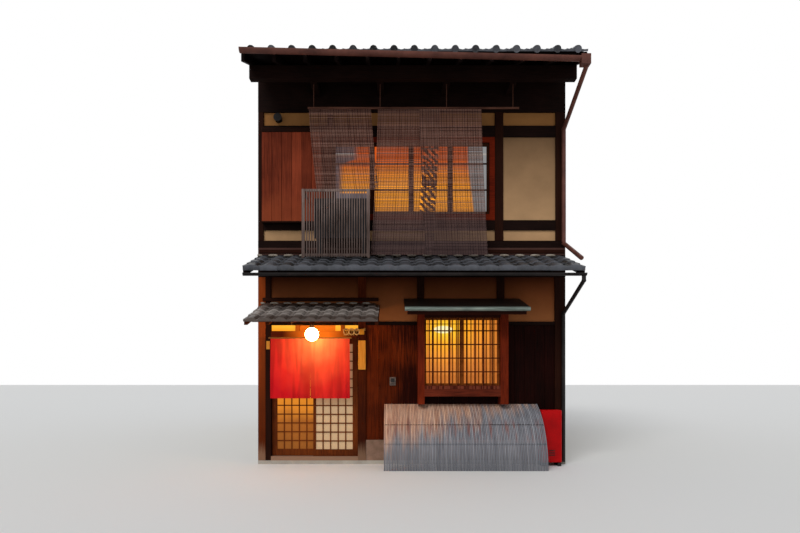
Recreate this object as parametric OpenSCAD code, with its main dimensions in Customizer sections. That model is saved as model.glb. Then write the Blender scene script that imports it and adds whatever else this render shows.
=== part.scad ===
// Two-storey timber townhouse of a row, with lattice doors, a lattice bay window and wave-tiled roofs.
// X runs along the front, +Y into the house and +Z up. The ground is at z = 0.

/* [House] */
// Depth from the front wall's face to the rear wall's face
house_d = 7280; // [5000:10:12000]
// Thickness of the front and rear walls
wall_t = 120; // [100:5:200]
// Thickness of the party walls
party_t = 110; // [80:5:200]
// Height of the floor slab above the ground
base_h = 55; // [40:5:150]
// Setback of the boards behind the posts' faces
board_back = 25; // [10:1:45]
// Thickness of the board panels
board_t = 70; // [20:1:72]
// Setback of the plaster behind the posts' faces
plaster_back = 30; // [10:1:45]
// Thickness of the plaster panels
plaster_t = 75; // [30:1:80]

/* [Ground floor, from left to right] */
// Width of the left corner post
corner_post_w = 110; // [80:5:150]
// Width of the door's left jamb post
jamb_w = 80; // [50:5:120]
// Clear width of the doorway
doorway_w = 1290; // [1000:10:1800]
// Width of the post at the right of the door
door_post_w = 118; // [80:1:160]
// Width of the boarded bay beside the door
plain_bay_w = 758; // [400:1:1200]
// Width of the post at the left of the bay window
bay_left_post_w = 104; // [80:1:150]
// Clear width between the posts behind the bay window
bay_clear_w = 1077; // [700:1:1500]
// Width of the post at the right of the bay window
bay_right_post_w = 112; // [80:1:150]
// Width of the boarded bay at the right end
end_bay_w = 746; // [500:1:1200]
// Width of the right corner post
end_post_w = 155; // [100:1:200]

/* [Ground floor heights] */
// Top of the stone plinth
plinth_top = 358; // [250:1:450]
// How far the plinth stands back from the posts' faces
plinth_back = 8; // [0:1:20]
// Underside of the ground-floor rail between boards and plaster
rail_z = 2060; // [1990:5:2080]
// Height of the ground-floor rail
rail_h = 50; // [30:1:80]
// Underside of the storey beam
storey_z = 2770; // [2700:5:2800]
// Height of the storey beam
storey_h = 326; // [250:1:330]
// Height of the apron board above the lower roof
apron_h = 107; // [60:1:140]
// Thickness of the upper floor
floor_t = 60; // [30:5:100]

/* [Door] */
// Height of the wooden sill
sill_h = 60; // [40:1:90]
// Height of the opening between sill and lintel
door_clear_h = 1760; // [1600:5:1850]
// Height of the lintel
lintel_h = 96; // [60:1:120]
// Width of the grooves in sill and lintel
groove_w = 40; // [38:1:42]
// Ridge between the two grooves
groove_ridge = 10; // [8:1:12]
// Depth of the lintel's grooves
groove_depth = 20; // [16:1:30]
// Setback of the first groove behind the posts' faces
groove_back = 14; // [8:1:16]
// Thickness of a door leaf
leaf_t = 30; // [26:1:30]
// How far the two leaves overlap when closed
leaf_overlap = 41; // [30:1:60]
// Clearance between a leaf and what it moves past
leaf_clear = 5; // [5:0.5:8]
// Gap between a leaf and the rail it runs on
track_gap = 0.3; // [0.2:0.1:0.5]
// Width of the rail on the sill
track_w = 8; // [6:1:12]
// Height of the rail on the sill
track_h = 4; // [3:0.5:8]
// Width of a leaf's outer stile
leaf_stile = 76; // [50:1:90]
// Width of a leaf's meeting stile
meeting_stile = 41; // [30:1:60]
// Height of a leaf's bottom rail
leaf_bottom = 98; // [60:1:150]
// Height of a leaf's top rail
leaf_top = 110; // [60:1:180]
// Columns of panes in a leaf
leaf_cols = 5; // [3:1:8]
// Rows of panes in a leaf
leaf_rows = 12; // [6:1:16]
// Width of a lattice bar in the doors
leaf_bar = 16; // [10:1:22]
// Thickness of a lattice bar in the doors
leaf_bar_t = 12; // [8:1:14]
// Thickness of the panes in the doors
pane_t = 6; // [3:0.5:8]
// Width of a transom upright
transom_bar = 60; // [30:1:90]

/* [Entrance canopy] */
// How far the canopy starts in from the house's left side
canopy_left = 50; // [20:1:120]
// How far the canopy runs past the post at the right of the door
canopy_right = 205; // [100:1:250]
// How far the canopy projects
canopy_run = 1000; // [700:5:1200]
// Underside of the canopy's rafters at the wall
canopy_z = 2284; // [2270:1:2340]
// Rise of the canopy per unit of projection
canopy_slope = 0.33; // [0.28:0.01:0.38]
// Depth of the canopy's rafters
canopy_rafter_h = 40; // [30:1:60]
// Setback of the canopy's boards and rafters from the tiles' eave
canopy_eave = 60; // [20:1:100]
// Number of rafters in the canopy
canopy_rafters = 7; // [4:1:10]
// Number of tile waves across the canopy
canopy_waves = 9; // [6:1:12]
// Where the lamp's purlin lies ahead of the wall
lamp_run = 550; // [400:5:700]
// Height of the lamp's purlin
lamp_purlin_h = 60; // [40:1:80]
// Diameter of the lamp globe
lamp_d = 185; // [120:1:240]
// Diameter of the lamp's neck
lamp_neck_d = 44; // [30:1:60]
// Height of the lamp globe's centre
lamp_z = 1880; // [1860:1:1920]
// Distance of the lamp's centre from the door's left side
lamp_x = 688; // [300:1:900]

/* [Noren] */
// Distance of the noren's left edge from the door's left side
noren_left = 17; // [10:1:60]
// Distance of the noren's right edge from the door's right side
noren_right = 117; // [60:1:300]
// Drop of the noren
noren_drop = 860; // [500:5:1200]
// Width of the slit between the two panels
noren_slit = 6; // [3:1:12]
// Thickness of the noren's space, folds and all
noren_t = 24; // [8:1:30]
// Distance of the noren from the posts' faces
noren_run = 90; // [75:1:150]
// Diameter of the noren rod
noren_rod_d = 22; // [16:1:30]
// Height of the noren rod's axis
noren_rod_z = 1862; // [1845:1:1872]

/* [Bay window] */
// How far the bay window projects
bay_run = 200; // [120:5:300]
// Width of the bay window's left post
bay_post_left = 95; // [60:1:130]
// Width of the bay window's right post
bay_post_right = 114; // [60:1:130]
// Lower end of the bay window's posts
bay_foot_z = 895; // [850:1:950]
// Underside of the bay window's bottom rail
bay_sill_z = 1010; // [980:1:1060]
// Height of the bay window's bottom rail
bay_sill_h = 158; // [100:1:200]
// Height of the bay window's lattice opening
bay_open_h = 985; // [850:1:1010]
// Height of the bay window's head
bay_head_h = 60; // [40:1:90]
// Number of lattice bars across the bay window
bay_bars = 8; // [4:1:12]
// Width of a lattice bar in the bay window
bay_bar = 17; // [10:1:24]
// Thickness of the bay window's lattice
bay_bar_t = 20; // [12:1:30]
// Spacing of the rails of the bay window's lattice
bay_rail_pitch = 198; // [120:1:260]
// Thickness of an inner sash
sash_t = 30; // [20:1:36]
// Width of a stile of an inner sash
sash_stile = 30; // [20:1:50]
// Number of bars in an inner sash
sash_bars = 8; // [4:1:12]
// Width of a bar of an inner sash
sash_bar = 14; // [8:1:20]

/* [Bay window canopy] */
// How far the bay canopy runs past the bay window's posts
bay_canopy_side = 200; // [100:1:260]
// How far the bay canopy projects
bay_canopy_run = 620; // [400:5:700]
// Underside of the bay canopy's boards at the wall
bay_canopy_z = 2400; // [2390:1:2440]
// Rise of the bay canopy per unit of projection
bay_canopy_slope = 0.32; // [0.2:0.01:0.34]
// Thickness of the bay canopy's boards
bay_canopy_t = 40; // [25:1:60]
// Thickness of the metal sheet on the bay canopy
sheet_t = 12; // [6:1:20]
// Diameter of the rolled front edge
roll_d = 56; // [40:1:70]
// Depth of the arms and the bar under the bay canopy's boards
bay_arm_h = 60; // [40:1:80]
// Width of an arm and of the bar
bay_arm_w = 50; // [30:1:70]
// Distance of an arm from the bay canopy's end
bay_arm_in = 37; // [10:1:60]
// Setback of the bar from the boards' front
bay_bar_back = 20; // [5:1:60]

/* [Bamboo fence] */
// Distance of the fence from the post at the right of the door
fence_left = 271; // [100:1:400]
// Distance of the fence from the right corner post
fence_right = 262; // [250:1:400]
// Height of the fence's top at the wall
fence_top = 891; // [600:1:892]
// How far the fence's foot stands out
fence_run = 589; // [300:1:700]
// Radius of the bent bamboo
fence_r = 985; // [900:5:1600]
// Thickness of the split bamboo
bamboo_t = 10; // [6:1:14]
// Width of a strip of split bamboo, groove and all
bamboo_pitch = 22; // [18:1:40]
// Width of the grooves between the strips
bamboo_gap = 2; // [1:0.5:4]
// Depth of the grooves between the strips
bamboo_groove = 4; // [2:0.5:5]
// Size of the rails behind the bamboo
fence_rail = 30; // [20:1:45]

/* [Fittings] */
// Width of the extinguisher box
ext_w = 300; // [200:1:310]
// Height of the extinguisher box
ext_h = 759; // [500:1:900]
// Depth of the extinguisher box
ext_d = 200; // [150:1:260]
// Height of the foot under the extinguisher box
ext_foot = 52; // [20:1:80]
// Width of the name board
name_w = 112; // [80:1:116]
// Height of the name board
name_h = 431; // [300:1:500]
// Lower edge of the name board
name_z = 1400; // [1300:1:1500]
// Thickness of the name board
name_t = 24; // [12:1:30]
// Width of the intercom
intercom_w = 96; // [80:1:120]
// Height of the intercom
intercom_h = 128; // [100:1:160]
// Lower edge of the intercom
intercom_z = 1162; // [1100:1:1300]
// Depth of the intercom
intercom_d = 28; // [20:1:40]
// Distance of the intercom from the post at the right of the door
intercom_x = 348; // [200:1:500]
// Length of the straw charm
charm_w = 330; // [200:1:360]
// Thickness of the straw charm's rope
charm_d = 44; // [30:1:60]

/* [Lower roof] */
// Underside of the lower roof's rafters at the wall
lower_z = 2945; // [2930:1:2950]
// How far the lower roof projects
lower_run = 840; // [600:5:1000]
// Rise of the lower roof per unit of projection
lower_slope = 0.37; // [0.3:0.01:0.4]
// Depth of the lower roof's rafters
lower_rafter_h = 75; // [50:1:80]
// Thickness of the lower roof's boards
lower_deck_t = 25; // [15:1:30]
// Number of tile waves across the lower roof
lower_waves = 20; // [14:1:26]
// Diameter of the lower gutter
lower_gutter_d = 72; // [60:1:90]
// How far a tile's upper end runs under the one above
tile_lap = 20; // [10:1:40]
// Wall of the gutters
gutter_t = 5; // [4:0.5:8]
// How far the lower gutter's rim hangs below the boards' edge
lower_gutter_drop = 72; // [66:1:84]
// Distance of the lower gutter's axis ahead of the wall
lower_gutter_run = 882; // [880:1:900]
// Diameter of the lower downpipe
lower_pipe_d = 54; // [40:1:60]
// Straight length of the lower downpipe under its gutter
lower_pipe_neck = 60; // [20:1:120]
// Fall of the lower downpipe on its way back to the wall
lower_pipe_fall = 340; // [250:1:500]
// Gap between the lower downpipe's end and the ground
lower_pipe_gap = 40; // [20:1:100]

/* [Main roof] */
// Underside of the main roof's rafters at the front wall
main_z = 5844; // [5750:1:5900]
// How far the main roof projects at the front
main_run = 930; // [700:5:1100]
// How far the main roof projects at the rear
rear_run = 600; // [400:5:900]
// Rise of the main roof per unit of run
main_slope = 0.45; // [0.38:0.01:0.5]
// Depth of the main roof's rafters
main_rafter_h = 100; // [70:1:120]
// Width of all rafters
rafter_w = 45; // [35:1:60]
// Number of rafters across the house
house_rafters = 12; // [8:1:16]
// Thickness of the main roof's boards
main_deck_t = 30; // [20:1:40]
// Number of tile waves across the main roof
main_waves = 17; // [12:1:22]
// Thickness of a tile in its pan
tile_t = 28; // [20:1:36]
// Height of a tile's roll above its pan
tile_rise = 45; // [30:1:60]
// Exposed length of a tile, measured level
tile_course = 235; // [200:5:280]
// How much a tile's lower end stands above the tile below
tile_step = 12; // [8:1:15]
// Gap between the tiles and the boards they lie on
tile_seat = 0.1; // [0.05:0.05:0.3]
// Diameter of the round tile ends at the main roof's eaves
disc_d = 92; // [70:1:100]
// How far the round tile ends stand out
disc_out = 8; // [2:1:9]
// Thickness of the round tile ends behind the eave
disc_t = 24; // [10:1:28]
// Width of the ridge
ridge_w = 240; // [180:2:320]
// Height of the ridge's courses above the roof boards
ridge_h = 210; // [140:1:260]
// Diameter of the round tile on the ridge
ridge_cap_d = 150; // [110:1:170]
// Width of the ridge beam
ridge_beam_w = 120; // [90:2:160]
// Height of the ridge beam
ridge_beam_h = 200; // [150:1:260]
// Distance of the eave purlin ahead of the wall
purlin_run = 450; // [400:5:600]
// Width of the eave purlin
purlin_w = 100; // [80:1:130]
// Underside of the eave purlin
purlin_z = 5436; // [5380:1:5450]
// Number of arms that carry the eave purlin
purlin_arms = 4; // [3:1:6]
// Spacing of the arms
arm_pitch = 940; // [700:5:1100]
// Place of the first arm
arm_x = -1400; // [-1500:5:-1300]
// Diameter of the upper gutter
upper_gutter_d = 100; // [80:1:120]
// How far the upper gutter's low end hangs below the boards' edge
upper_gutter_drop = 116; // [112:1:130]
// Fall of the upper gutter from its left end to its outlet
upper_gutter_fall = 110; // [0:1:110]
// Distance of the upper gutter's axis ahead of the wall
upper_gutter_run = 990; // [985:1:1010]
// Diameter of the upper downpipe
upper_pipe_d = 60; // [50:1:66]
// Fall of the upper downpipe on its way back to the wall
upper_pipe_fall = 416; // [350:1:600]
// Distance of the upper downpipe's foot up the lower roof from its eave
upper_pipe_foot = 60; // [40:1:150]

/* [Upper floor, from left to right] */
// Width of the upper left corner post
upper_left_w = 80; // [70:1:120]
// Width of the shutter case
case_w = 1026; // [700:1:1200]
// Clear width of the upper window
window_w = 2323; // [1800:1:2600]
// Width of the upper window's right jamb
window_jamb = 79; // [50:1:100]
// Width of the upper middle post
upper_mid_w = 123; // [90:1:150]
// Width of the upper right corner post
upper_right_w = 143; // [100:1:180]
// Height of the base beam
base_beam_h = 105; // [80:1:130]
// Underside of the sill beam
sill_beam_z = 3466; // [3440:1:3500]
// Height of the sill beam
sill_beam_h = 148; // [100:1:160]
// Underside of the glass
glass_z = 3750; // [3700:1:3800]
// Height of the glass
glass_h = 974; // [800:1:980]
// Underside of the head beam
head_z = 4848; // [4820:1:4860]
// Height of the head beam
head_h = 166; // [120:1:180]
// Underside of the wall plate
plate_z = 5212; // [5150:1:5300]

/* [Upper window] */
// Number of sashes
sashes = 4; // [2:1:6]
// Width of a sash's stile
upper_stile = 38; // [28:1:60]
// Height of a sash's rails
upper_rail = 45; // [30:1:80]
// Thickness of a sash
upper_sash_t = 34; // [24:1:40]
// Setback of the sashes behind the posts' faces
sash_back = 30; // [10:1:40]
// Height of a glazing bar
glazing_bar = 16; // [10:1:24]
// Place of the lower glazing bar as a part of the glass's height
bar_low = 0.33; // [0.25:0.01:0.4]
// Place of the upper glazing bar as a part of the glass's height
bar_high = 0.73; // [0.6:0.01:0.8]
// Depth of the shutter case
case_d = 120; // [80:1:150]
// Underside of the shutter case
case_z = 3549; // [3500:1:3580]
// How far the shutter case laps over the head beam
case_lap = 88; // [20:1:120]
// Boards across the shutter case
case_boards = 6; // [4:1:9]
// Depth of the shutter case's board grooves
case_groove = 8; // [4:1:12]

/* [Reed screens] */
// Distance of the screen rail ahead of the wall
screen_run = 350; // [330:1:360]
// Height of the screen rail's axis
screen_z = 5098; // [5060:1:5130]
// Diameter of the screen rail
screen_rail_d = 30; // [20:1:40]
// How far the screen rail runs past the outer hangers
screen_rail_end = 85; // [30:1:150]
// Width of a reed screen
screen_w = 880; // [600:5:1000]
// Thickness of a reed screen
screen_t = 10; // [6:1:14]
// Place of the left screen's upper left corner
screen_left_x = -1468; // [-1480:1:-1440]
// Distance of the middle screen's upper left corner from the slatted cover
screen_mid_gap = 111; // [60:1:160]
// Place of the right screen's upper left corner
screen_right_x = 93; // [60:1:160]
// Gap between the left screen's lower edge and the slatted cover
screen_over = 14; // [8:1:200]
// Gap between the middle screen's lower corner and the slatted cover
screen_gap = 11; // [8:1:60]
// Lower edge of the middle and right screens
screen_low_z = 3018; // [3016:1:3200]
// How far the left screen's lower edge is blown to the right
screen_left_blow = 110; // [0:1:150]
// How far the right screen's lower edge is blown to the right
screen_right_blow = 92; // [0:1:150]

/* [Condenser] */
// Width of the slatted cover
cover_w = 953; // [800:1:1100]
// Place of the slatted cover's left side
cover_x = -1556; // [-1600:1:-1500]
// Top of the slatted cover
cover_top = 3921; // [3850:1:3950]
// Distance of the cover's front ahead of the wall
cover_run = 450; // [430:1:500]
// Size of the cover's posts
cover_post = 30; // [20:1:40]
// Number of slats in the cover's front
cover_slats = 26; // [16:1:32]
// Width of a slat
slat_w = 15; // [10:1:20]
// Thickness of a slat
slat_t = 8; // [5:1:12]
// Height of the cover's low side rails above its feet
cover_rail = 160; // [120:1:200]
// Width of the condenser
unit_w = 740; // [600:1:800]
// Height of the condenser
unit_h = 555; // [450:1:580]
// Depth of the condenser
unit_d = 280; // [220:1:300]
// Distance of the condenser's rear ahead of the wall
unit_run = 130; // [125:1:140]
// Underside of the condenser
unit_z = 3246; // [3200:1:3280]
// Gap between the condenser and the cover's right post
unit_gap = 2; // [1:1:30]
// Diameter of the condenser's fan opening
fan_d = 420; // [300:1:440]
// Rim between the fan opening and the condenser's left side
fan_side = 56; // [20:1:100]
// Size of the condenser's feet
unit_foot = 40; // [30:1:60]
// Diameter of the vent cap
vent_d = 120; // [90:1:124]
// Depth of the vent cap
vent_depth = 60; // [40:1:90]

/* [Rear wall] */
// Width and height of a rear window's opening
rear_open = 780; // [600:5:800]
// Height of the lower rear windows' sills
rear_sill = 1000; // [800:5:1200]
// Distance of the rear windows from the house's middle
rear_x = 1000; // [800:5:1300]
// Width of the rear windows' frames
rear_frame = 45; // [30:1:60]
// Thickness of the rear windows' frames
rear_frame_t = 60; // [40:1:80]
// Diameter of the hooks and screw eyes that carry rods
hook_d = 10; // [6:1:14]

/* [Hidden] */
$fn = 48;

// Places along the front
house_w = corner_post_w + jamb_w + doorway_w + door_post_w + plain_bay_w + bay_left_post_w
    + bay_clear_w + bay_right_post_w + end_bay_w + end_post_w;
left = -house_w / 2;
right = house_w / 2;
front = -house_d / 2;
rear = house_d / 2;
inside = front + wall_t;
door_x0 = left + corner_post_w + jamb_w;
door_x1 = door_x0 + doorway_w;
post2_x1 = door_x1 + door_post_w;
post3_x0 = post2_x1 + plain_bay_w;
post3_x1 = post3_x0 + bay_left_post_w;
post4_x0 = post3_x1 + bay_clear_w;
post4_x1 = post4_x0 + bay_right_post_w;
post5_x0 = post4_x1 + end_bay_w;

// Heights
sill_top = base_h + sill_h;
lintel_z = sill_top + door_clear_h;
lintel_top = lintel_z + lintel_h;
rail_top = rail_z + rail_h;
storey_top = storey_z + storey_h;
apron_top = storey_top + apron_h;
base_beam_top = apron_top + base_beam_h;
sill_beam_top = sill_beam_z + sill_beam_h;
head_top = head_z + head_h;
glass_top = glass_z + glass_h;

// Upper floor places
case_x0 = left + upper_left_w;
window_x0 = case_x0 + case_w;
window_x1 = window_x0 + window_w;
mid_post_x0 = window_x1 + window_jamb;
mid_post_x1 = mid_post_x0 + upper_mid_w;
right_post_x0 = right - upper_right_w;

// Door leaves
leaf_w = (doorway_w + leaf_overlap) / 2 - leaf_clear;
leaf_z0 = sill_top + track_h + track_gap;
leaf_z1 = lintel_z + groove_depth - leaf_clear;
groove1_y = front + groove_back + groove_w / 2;
groove2_y = groove1_y + groove_w + groove_ridge;

// Entrance canopy
canopy_x0 = left + canopy_left;
canopy_x1 = post2_x1 + canopy_right;
canopy_deck_t = 20;
canopy_tile_t = 20;
canopy_tile_rise = 36;

// Bay window
// How far the bay's left post stands in from the post behind it, and its right post past its own
bay_left_in = 2;
bay_right_out = 16;
bay_x0 = post3_x0 + bay_left_in;
bay_x1 = bay_x0 + bay_post_left;
bay_x3 = post4_x1 + bay_right_out;
bay_x2 = bay_x3 - bay_post_right;
bay_sill_top = bay_sill_z + bay_sill_h;
bay_open_top = bay_sill_top + bay_open_h;
bay_head_top = bay_open_top + bay_head_h;
bay_front = front - bay_run;

// Bamboo fence
fence_x0 = post2_x1 + fence_left;
fence_x1 = post5_x0 - fence_right;

// Helper shapes
module block(x0, x1, y0, y1, z0, z1) {
    translate([x0, y0, z0]) cube([x1 - x0, y1 - y0, z1 - z0]);
}

// An outline in the Y-Z plane, run along X
module run_x(x0, x1, points) {
    translate([x0, 0, 0]) rotate([90, 0, 90]) linear_extrude(x1 - x0) polygon(points);
}

// A round bar between two points that share an X
module bar(a, b, d) {
    v = b - a;
    length = norm(v);
    tilt = acos(v[2] / length);
    turn = atan2(v[1], v[0]);
    translate(a) rotate([0, tilt, turn]) cylinder(h = length, d = d);
}

// Flat steps in every wave of the tiles
lower_wave_steps = 10;
main_wave_steps = 5;

// Tile heights across a field: a narrow roll and a wide pan in every wave
function wave(t) = pow((1 + cos(360 * t)) / 2, 1.8);
function wave_outline(w, n, steps, low, base, rise) = concat(
    [for (i = [0 : n * steps]) [i * w / (n * steps), base + rise * wave(i / steps + 0.5)]],
    [[w, low], [0, low]]);

// A tiled slope that falls towards -Y from the point (y1, z1) on its boards, cut plumb at both ends.
// Each course lies a little flatter than the boards, so its lower end rides over the one below.
module tile_slope(x0, x1, y0, y1, z1, slope, waves, steps, base, rise) {
    a = atan(slope);
    courses = round((y1 - y0) / tile_course);
    pitch = (y1 - y0) / courses;
    tilt = asin(tile_step * cos(a) / pitch);
    over = 3 * (base + rise);
    low = z1 - slope * (y1 - y0);
    intersection() {
        for (i = [0 : courses - 1]) {
            before = i == 0 ? over : 0;
            after = i == courses - 1 ? over : tile_lap;
            translate([x0, y0 + i * pitch - tile_step * sin(a), low + i * pitch * slope + tile_step * cos(a)])
                rotate([a - tilt, 0, 0]) translate([0, pitch / cos(a) + after, 0]) rotate([90, 0, 0])
                    linear_extrude(pitch / cos(a) + before + after)
                        polygon(wave_outline(x1 - x0, waves, steps, -2 * tile_step, base - tile_step, rise));
        }
        run_x(x0 - 1, x1 + 1, [[y0, low + tile_seat], [y1, z1 + tile_seat],
            [y1, z1 + over], [y0, low + over]]);
    }
}

// Round tile ends along the eave of such a slope, one below each roll
module eave_discs(x0, x1, y0, y1, z1, slope, waves, base, rise) {
    a = atan(slope);
    w = (x1 - x0) / waves;
    for (i = [0 : waves - 1])
        translate([x0 + (i + 0.5) * w, y0, z1 - slope * (y1 - y0)]) rotate([90 + a, 0, 0])
            translate([0, base + rise - disc_d / 2, -disc_t]) cylinder(h = disc_t + disc_out, d = disc_d);
}

// Rafters and boards of a slope, from the eave at y0 to y1, with the rafters' underside at (y1, z1)
module slope_frame(x0, x1, y0, y1, z1, slope, rafter_h, deck_t, rafters) {
    z0 = z1 - slope * (y1 - y0);
    run_x(x0, x1, [[y0, z0 + rafter_h], [y1, z1 + rafter_h],
        [y1, z1 + rafter_h + deck_t], [y0, z0 + rafter_h + deck_t]]);
    pitch = (x1 - x0 - rafter_w) / (rafters - 1);
    for (i = [0 : rafters - 1])
        run_x(x0 + i * pitch, x0 + i * pitch + rafter_w,
            [[y0, z0], [y1, z1], [y1, z1 + rafter_h + deck_t / 2], [y0, z0 + rafter_h + deck_t / 2]]);
}

// A half-round trough along X with closed ends, cut plumb, its rim falling from z0 to z1
module trough(x0, x1, y, z0, z1, d) {
    length = norm([x1 - x0, z0 - z1]);
    intersection() {
        translate([x0, y, z0]) rotate([0, 90 + atan2(z0 - z1, x1 - x0), 0]) difference() {
            translate([0, 0, -d]) cylinder(h = length + 2 * d, d = d);
            translate([0, 0, gutter_t]) cylinder(h = length - 2 * gutter_t, d = d - 2 * gutter_t);
            translate([-d, -d, -d - 1]) cube([d, 2 * d, length + 2 * d + 2]);
        }
        block(x0, x1, y - d, y + d, z1 - d, z0 + d);
    }
}

// Main roof heights
function main_under(y) = main_z + main_slope * (y < 0 ? y - front : rear - y);
main_deck_top = main_rafter_h + main_deck_t;

module foundation() {
    color("gray") block(left, right, front, rear, 0, base_h);
}

module front_plinth() {
    color("darkgray") block(post2_x1, post5_x0, front + plinth_back, inside, base_h, plinth_top);
}

module party_wall(x0) {
    run_x(x0, x0 + party_t, [[inside, base_h], [rear - wall_t, base_h],
        [rear - wall_t, main_under(rear - wall_t)],
        [ridge_beam_w / 2, main_under(ridge_beam_w / 2)],
        [ridge_beam_w / 2, main_under(0) - ridge_beam_h + main_rafter_h],
        [-ridge_beam_w / 2, main_under(0) - ridge_beam_h + main_rafter_h],
        [-ridge_beam_w / 2, main_under(-ridge_beam_w / 2)],
        [inside, main_under(inside)]]);
}

module party_walls() {
    color("wheat") {
        party_wall(left);
        party_wall(right - party_t);
    }
}

// Sills of the rear windows, one row a storey
rear_rows = [rear_sill, storey_top + rear_sill];

module rear_wall() {
    color("wheat") difference() {
        run_x(left, right, [[rear - wall_t, base_h], [rear, base_h], [rear, main_under(rear)],
            [rear - wall_t, main_under(rear - wall_t)]]);
        for (z = rear_rows, s = [-1, 1])
            translate([s * rear_x - rear_open / 2, rear - wall_t - 1, z])
                cube([rear_open, wall_t + 2, rear_open]);
    }
}

module rear_window_frame(x, z) {
    difference() {
        translate([x - rear_open / 2, rear - wall_t, z]) cube([rear_open, rear_frame_t, rear_open]);
        for (s = [-1, 1])
            translate([x + s * rear_open / 4 - (rear_open / 2 - 1.5 * rear_frame) / 2,
                rear - wall_t - 1, z + rear_frame])
                cube([rear_open / 2 - 1.5 * rear_frame, rear_frame_t + 2, rear_open - 2 * rear_frame]);
    }
}

module rear_window_frames() {
    color("sienna") for (z = rear_rows, s = [-1, 1]) rear_window_frame(s * rear_x, z);
}

module rear_window_glass() {
    color("lightblue") for (z = rear_rows, s = [-1, 1])
        translate([s * rear_x - rear_open / 2, rear - wall_t + rear_frame_t, z])
            cube([rear_open, pane_t, rear_open]);
}

module upper_floor() {
    color("burlywood") block(left + party_t, right - party_t, inside, rear - wall_t,
        storey_top - floor_t, storey_top);
}

// Ground-floor posts stand on the slab or the plinth and end under the storey beam
ground_posts = [[left, left + corner_post_w, base_h], [door_x0 - jamb_w, door_x0, base_h],
    [door_x1, post2_x1, base_h], [post3_x0, post3_x1, plinth_top],
    [post4_x0, post4_x1, plinth_top], [post5_x0, right, base_h]];
upper_posts = [[left, case_x0], [window_x0 - upper_left_w, window_x0],
    [mid_post_x0, mid_post_x1], [right_post_x0, right]];

module front_posts() {
    color("saddlebrown") {
        for (p = ground_posts) block(p[0], p[1], front, inside, p[2], storey_z);
        for (p = upper_posts) block(p[0], p[1], front, inside, base_beam_top, plate_z);
    }
}

beam_back = 6;
// Spans of the rails between the posts of each storey
ground_spans = [[post2_x1, post3_x0], [post3_x1, post4_x0], [post4_x1, post5_x0]];
upper_spans = [[case_x0, window_x0 - upper_left_w], [window_x0, mid_post_x0],
    [mid_post_x1, right_post_x0]];

module front_beams() {
    color("saddlebrown") {
        for (s = ground_spans) block(s[0], s[1], front + beam_back, inside, rail_z, rail_top);
        block(door_x0, door_x1, front + beam_back, inside, rail_z, rail_top);
        block(left, right, front, inside, storey_z, storey_top);
        block(left, right, front, inside, apron_top, base_beam_top);
        for (s = upper_spans) {
            block(s[0], s[1], front + beam_back, inside, sill_beam_z, sill_beam_top);
            block(s[0], s[1], front + beam_back, inside, head_z, head_top);
        }
        run_x(left, right, [[front, plate_z], [inside, plate_z], [inside, main_under(inside)],
            [front, main_under(front)]]);
    }
}

module front_boards() {
    color("maroon") {
        for (i = [0, 2])
            block(ground_spans[i][0], ground_spans[i][1], front + board_back,
                front + board_back + board_t, plinth_top, rail_z);
        block(post3_x1, post4_x0, front + board_back, front + board_back + board_t,
            plinth_top, bay_sill_z);
        block(left, right, front, front + board_t, storey_top, apron_top);
    }
}

module plaster_panel(s, z0, z1) {
    block(s[0], s[1], front + plaster_back, front + plaster_back + plaster_t, z0, z1);
}

module front_plaster() {
    color("khaki") {
        plaster_panel([door_x0, door_x1], rail_top, storey_z);
        for (s = ground_spans) plaster_panel(s, rail_top, storey_z);
        for (s = upper_spans) {
            plaster_panel(s, base_beam_top, sill_beam_z);
            plaster_panel(s, head_top, plate_z);
        }
        for (i = [0, 2]) plaster_panel(upper_spans[i], sill_beam_top, head_z);
    }
}

// The sill carries two rails, and the lintel has a groove over each
module door_frame() {
    color("sienna") {
        block(door_x0, door_x1, front, inside, base_h, sill_top);
        for (y = [groove1_y, groove2_y])
            block(door_x0, door_x1, y - track_w / 2, y + track_w / 2, sill_top - 1, sill_top + track_h);
        difference() {
            block(door_x0, door_x1, front, inside, lintel_z, lintel_top);
            for (y = [groove1_y, groove2_y])
                block(door_x0 - 1, door_x1 + 1, y - groove_w / 2, y + groove_w / 2,
                    lintel_z - 1, lintel_z + groove_depth);
        }
        for (x = transom_bars)
            block(x, x + transom_bar, front + beam_back, inside, lintel_top, rail_z);
    }
}

// Places of the transom's uprights as parts of the doorway
transom_parts = [0.28, 0.8];
transom_bars = [for (part = transom_parts) door_x0 + doorway_w * part];
transom_spans = [[door_x0, transom_bars[0]], [transom_bars[0] + transom_bar, transom_bars[1]],
    [transom_bars[1] + transom_bar, door_x1]];

module transom_panes() {
    color("gold") for (s = transom_spans)
        block(s[0], s[1], front + wall_t / 2, front + wall_t / 2 + pane_t, lintel_top, rail_z);
}

// One door leaf from its left edge, with its meeting stile on the left or the right
module leaf(x0, y, meets_right) {
    stile_l = meets_right ? leaf_stile : meeting_stile;
    stile_r = meets_right ? meeting_stile : leaf_stile;
    open_w = leaf_w - stile_l - stile_r;
    open_h = leaf_z1 - leaf_z0 - leaf_bottom - leaf_top;
    cell_w = (open_w - (leaf_cols - 1) * leaf_bar) / leaf_cols;
    cell_h = (open_h - (leaf_rows - 1) * leaf_bar) / leaf_rows;
    translate([x0, y - leaf_t / 2, leaf_z0]) {
        difference() {
            cube([leaf_w, leaf_t, leaf_z1 - leaf_z0]);
            translate([stile_l, -1, leaf_bottom]) cube([open_w, leaf_t + 2, open_h]);
        }
        for (i = [1 : leaf_cols - 1])
            translate([stile_l + i * (cell_w + leaf_bar) - leaf_bar, 0, leaf_bottom - 1])
                cube([leaf_bar, leaf_bar_t, open_h + 2]);
        for (i = [1 : leaf_rows - 1])
            translate([stile_l - 1, 0, leaf_bottom + i * (cell_h + leaf_bar) - leaf_bar])
                cube([open_w + 2, leaf_bar_t, leaf_bar]);
    }
}

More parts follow.
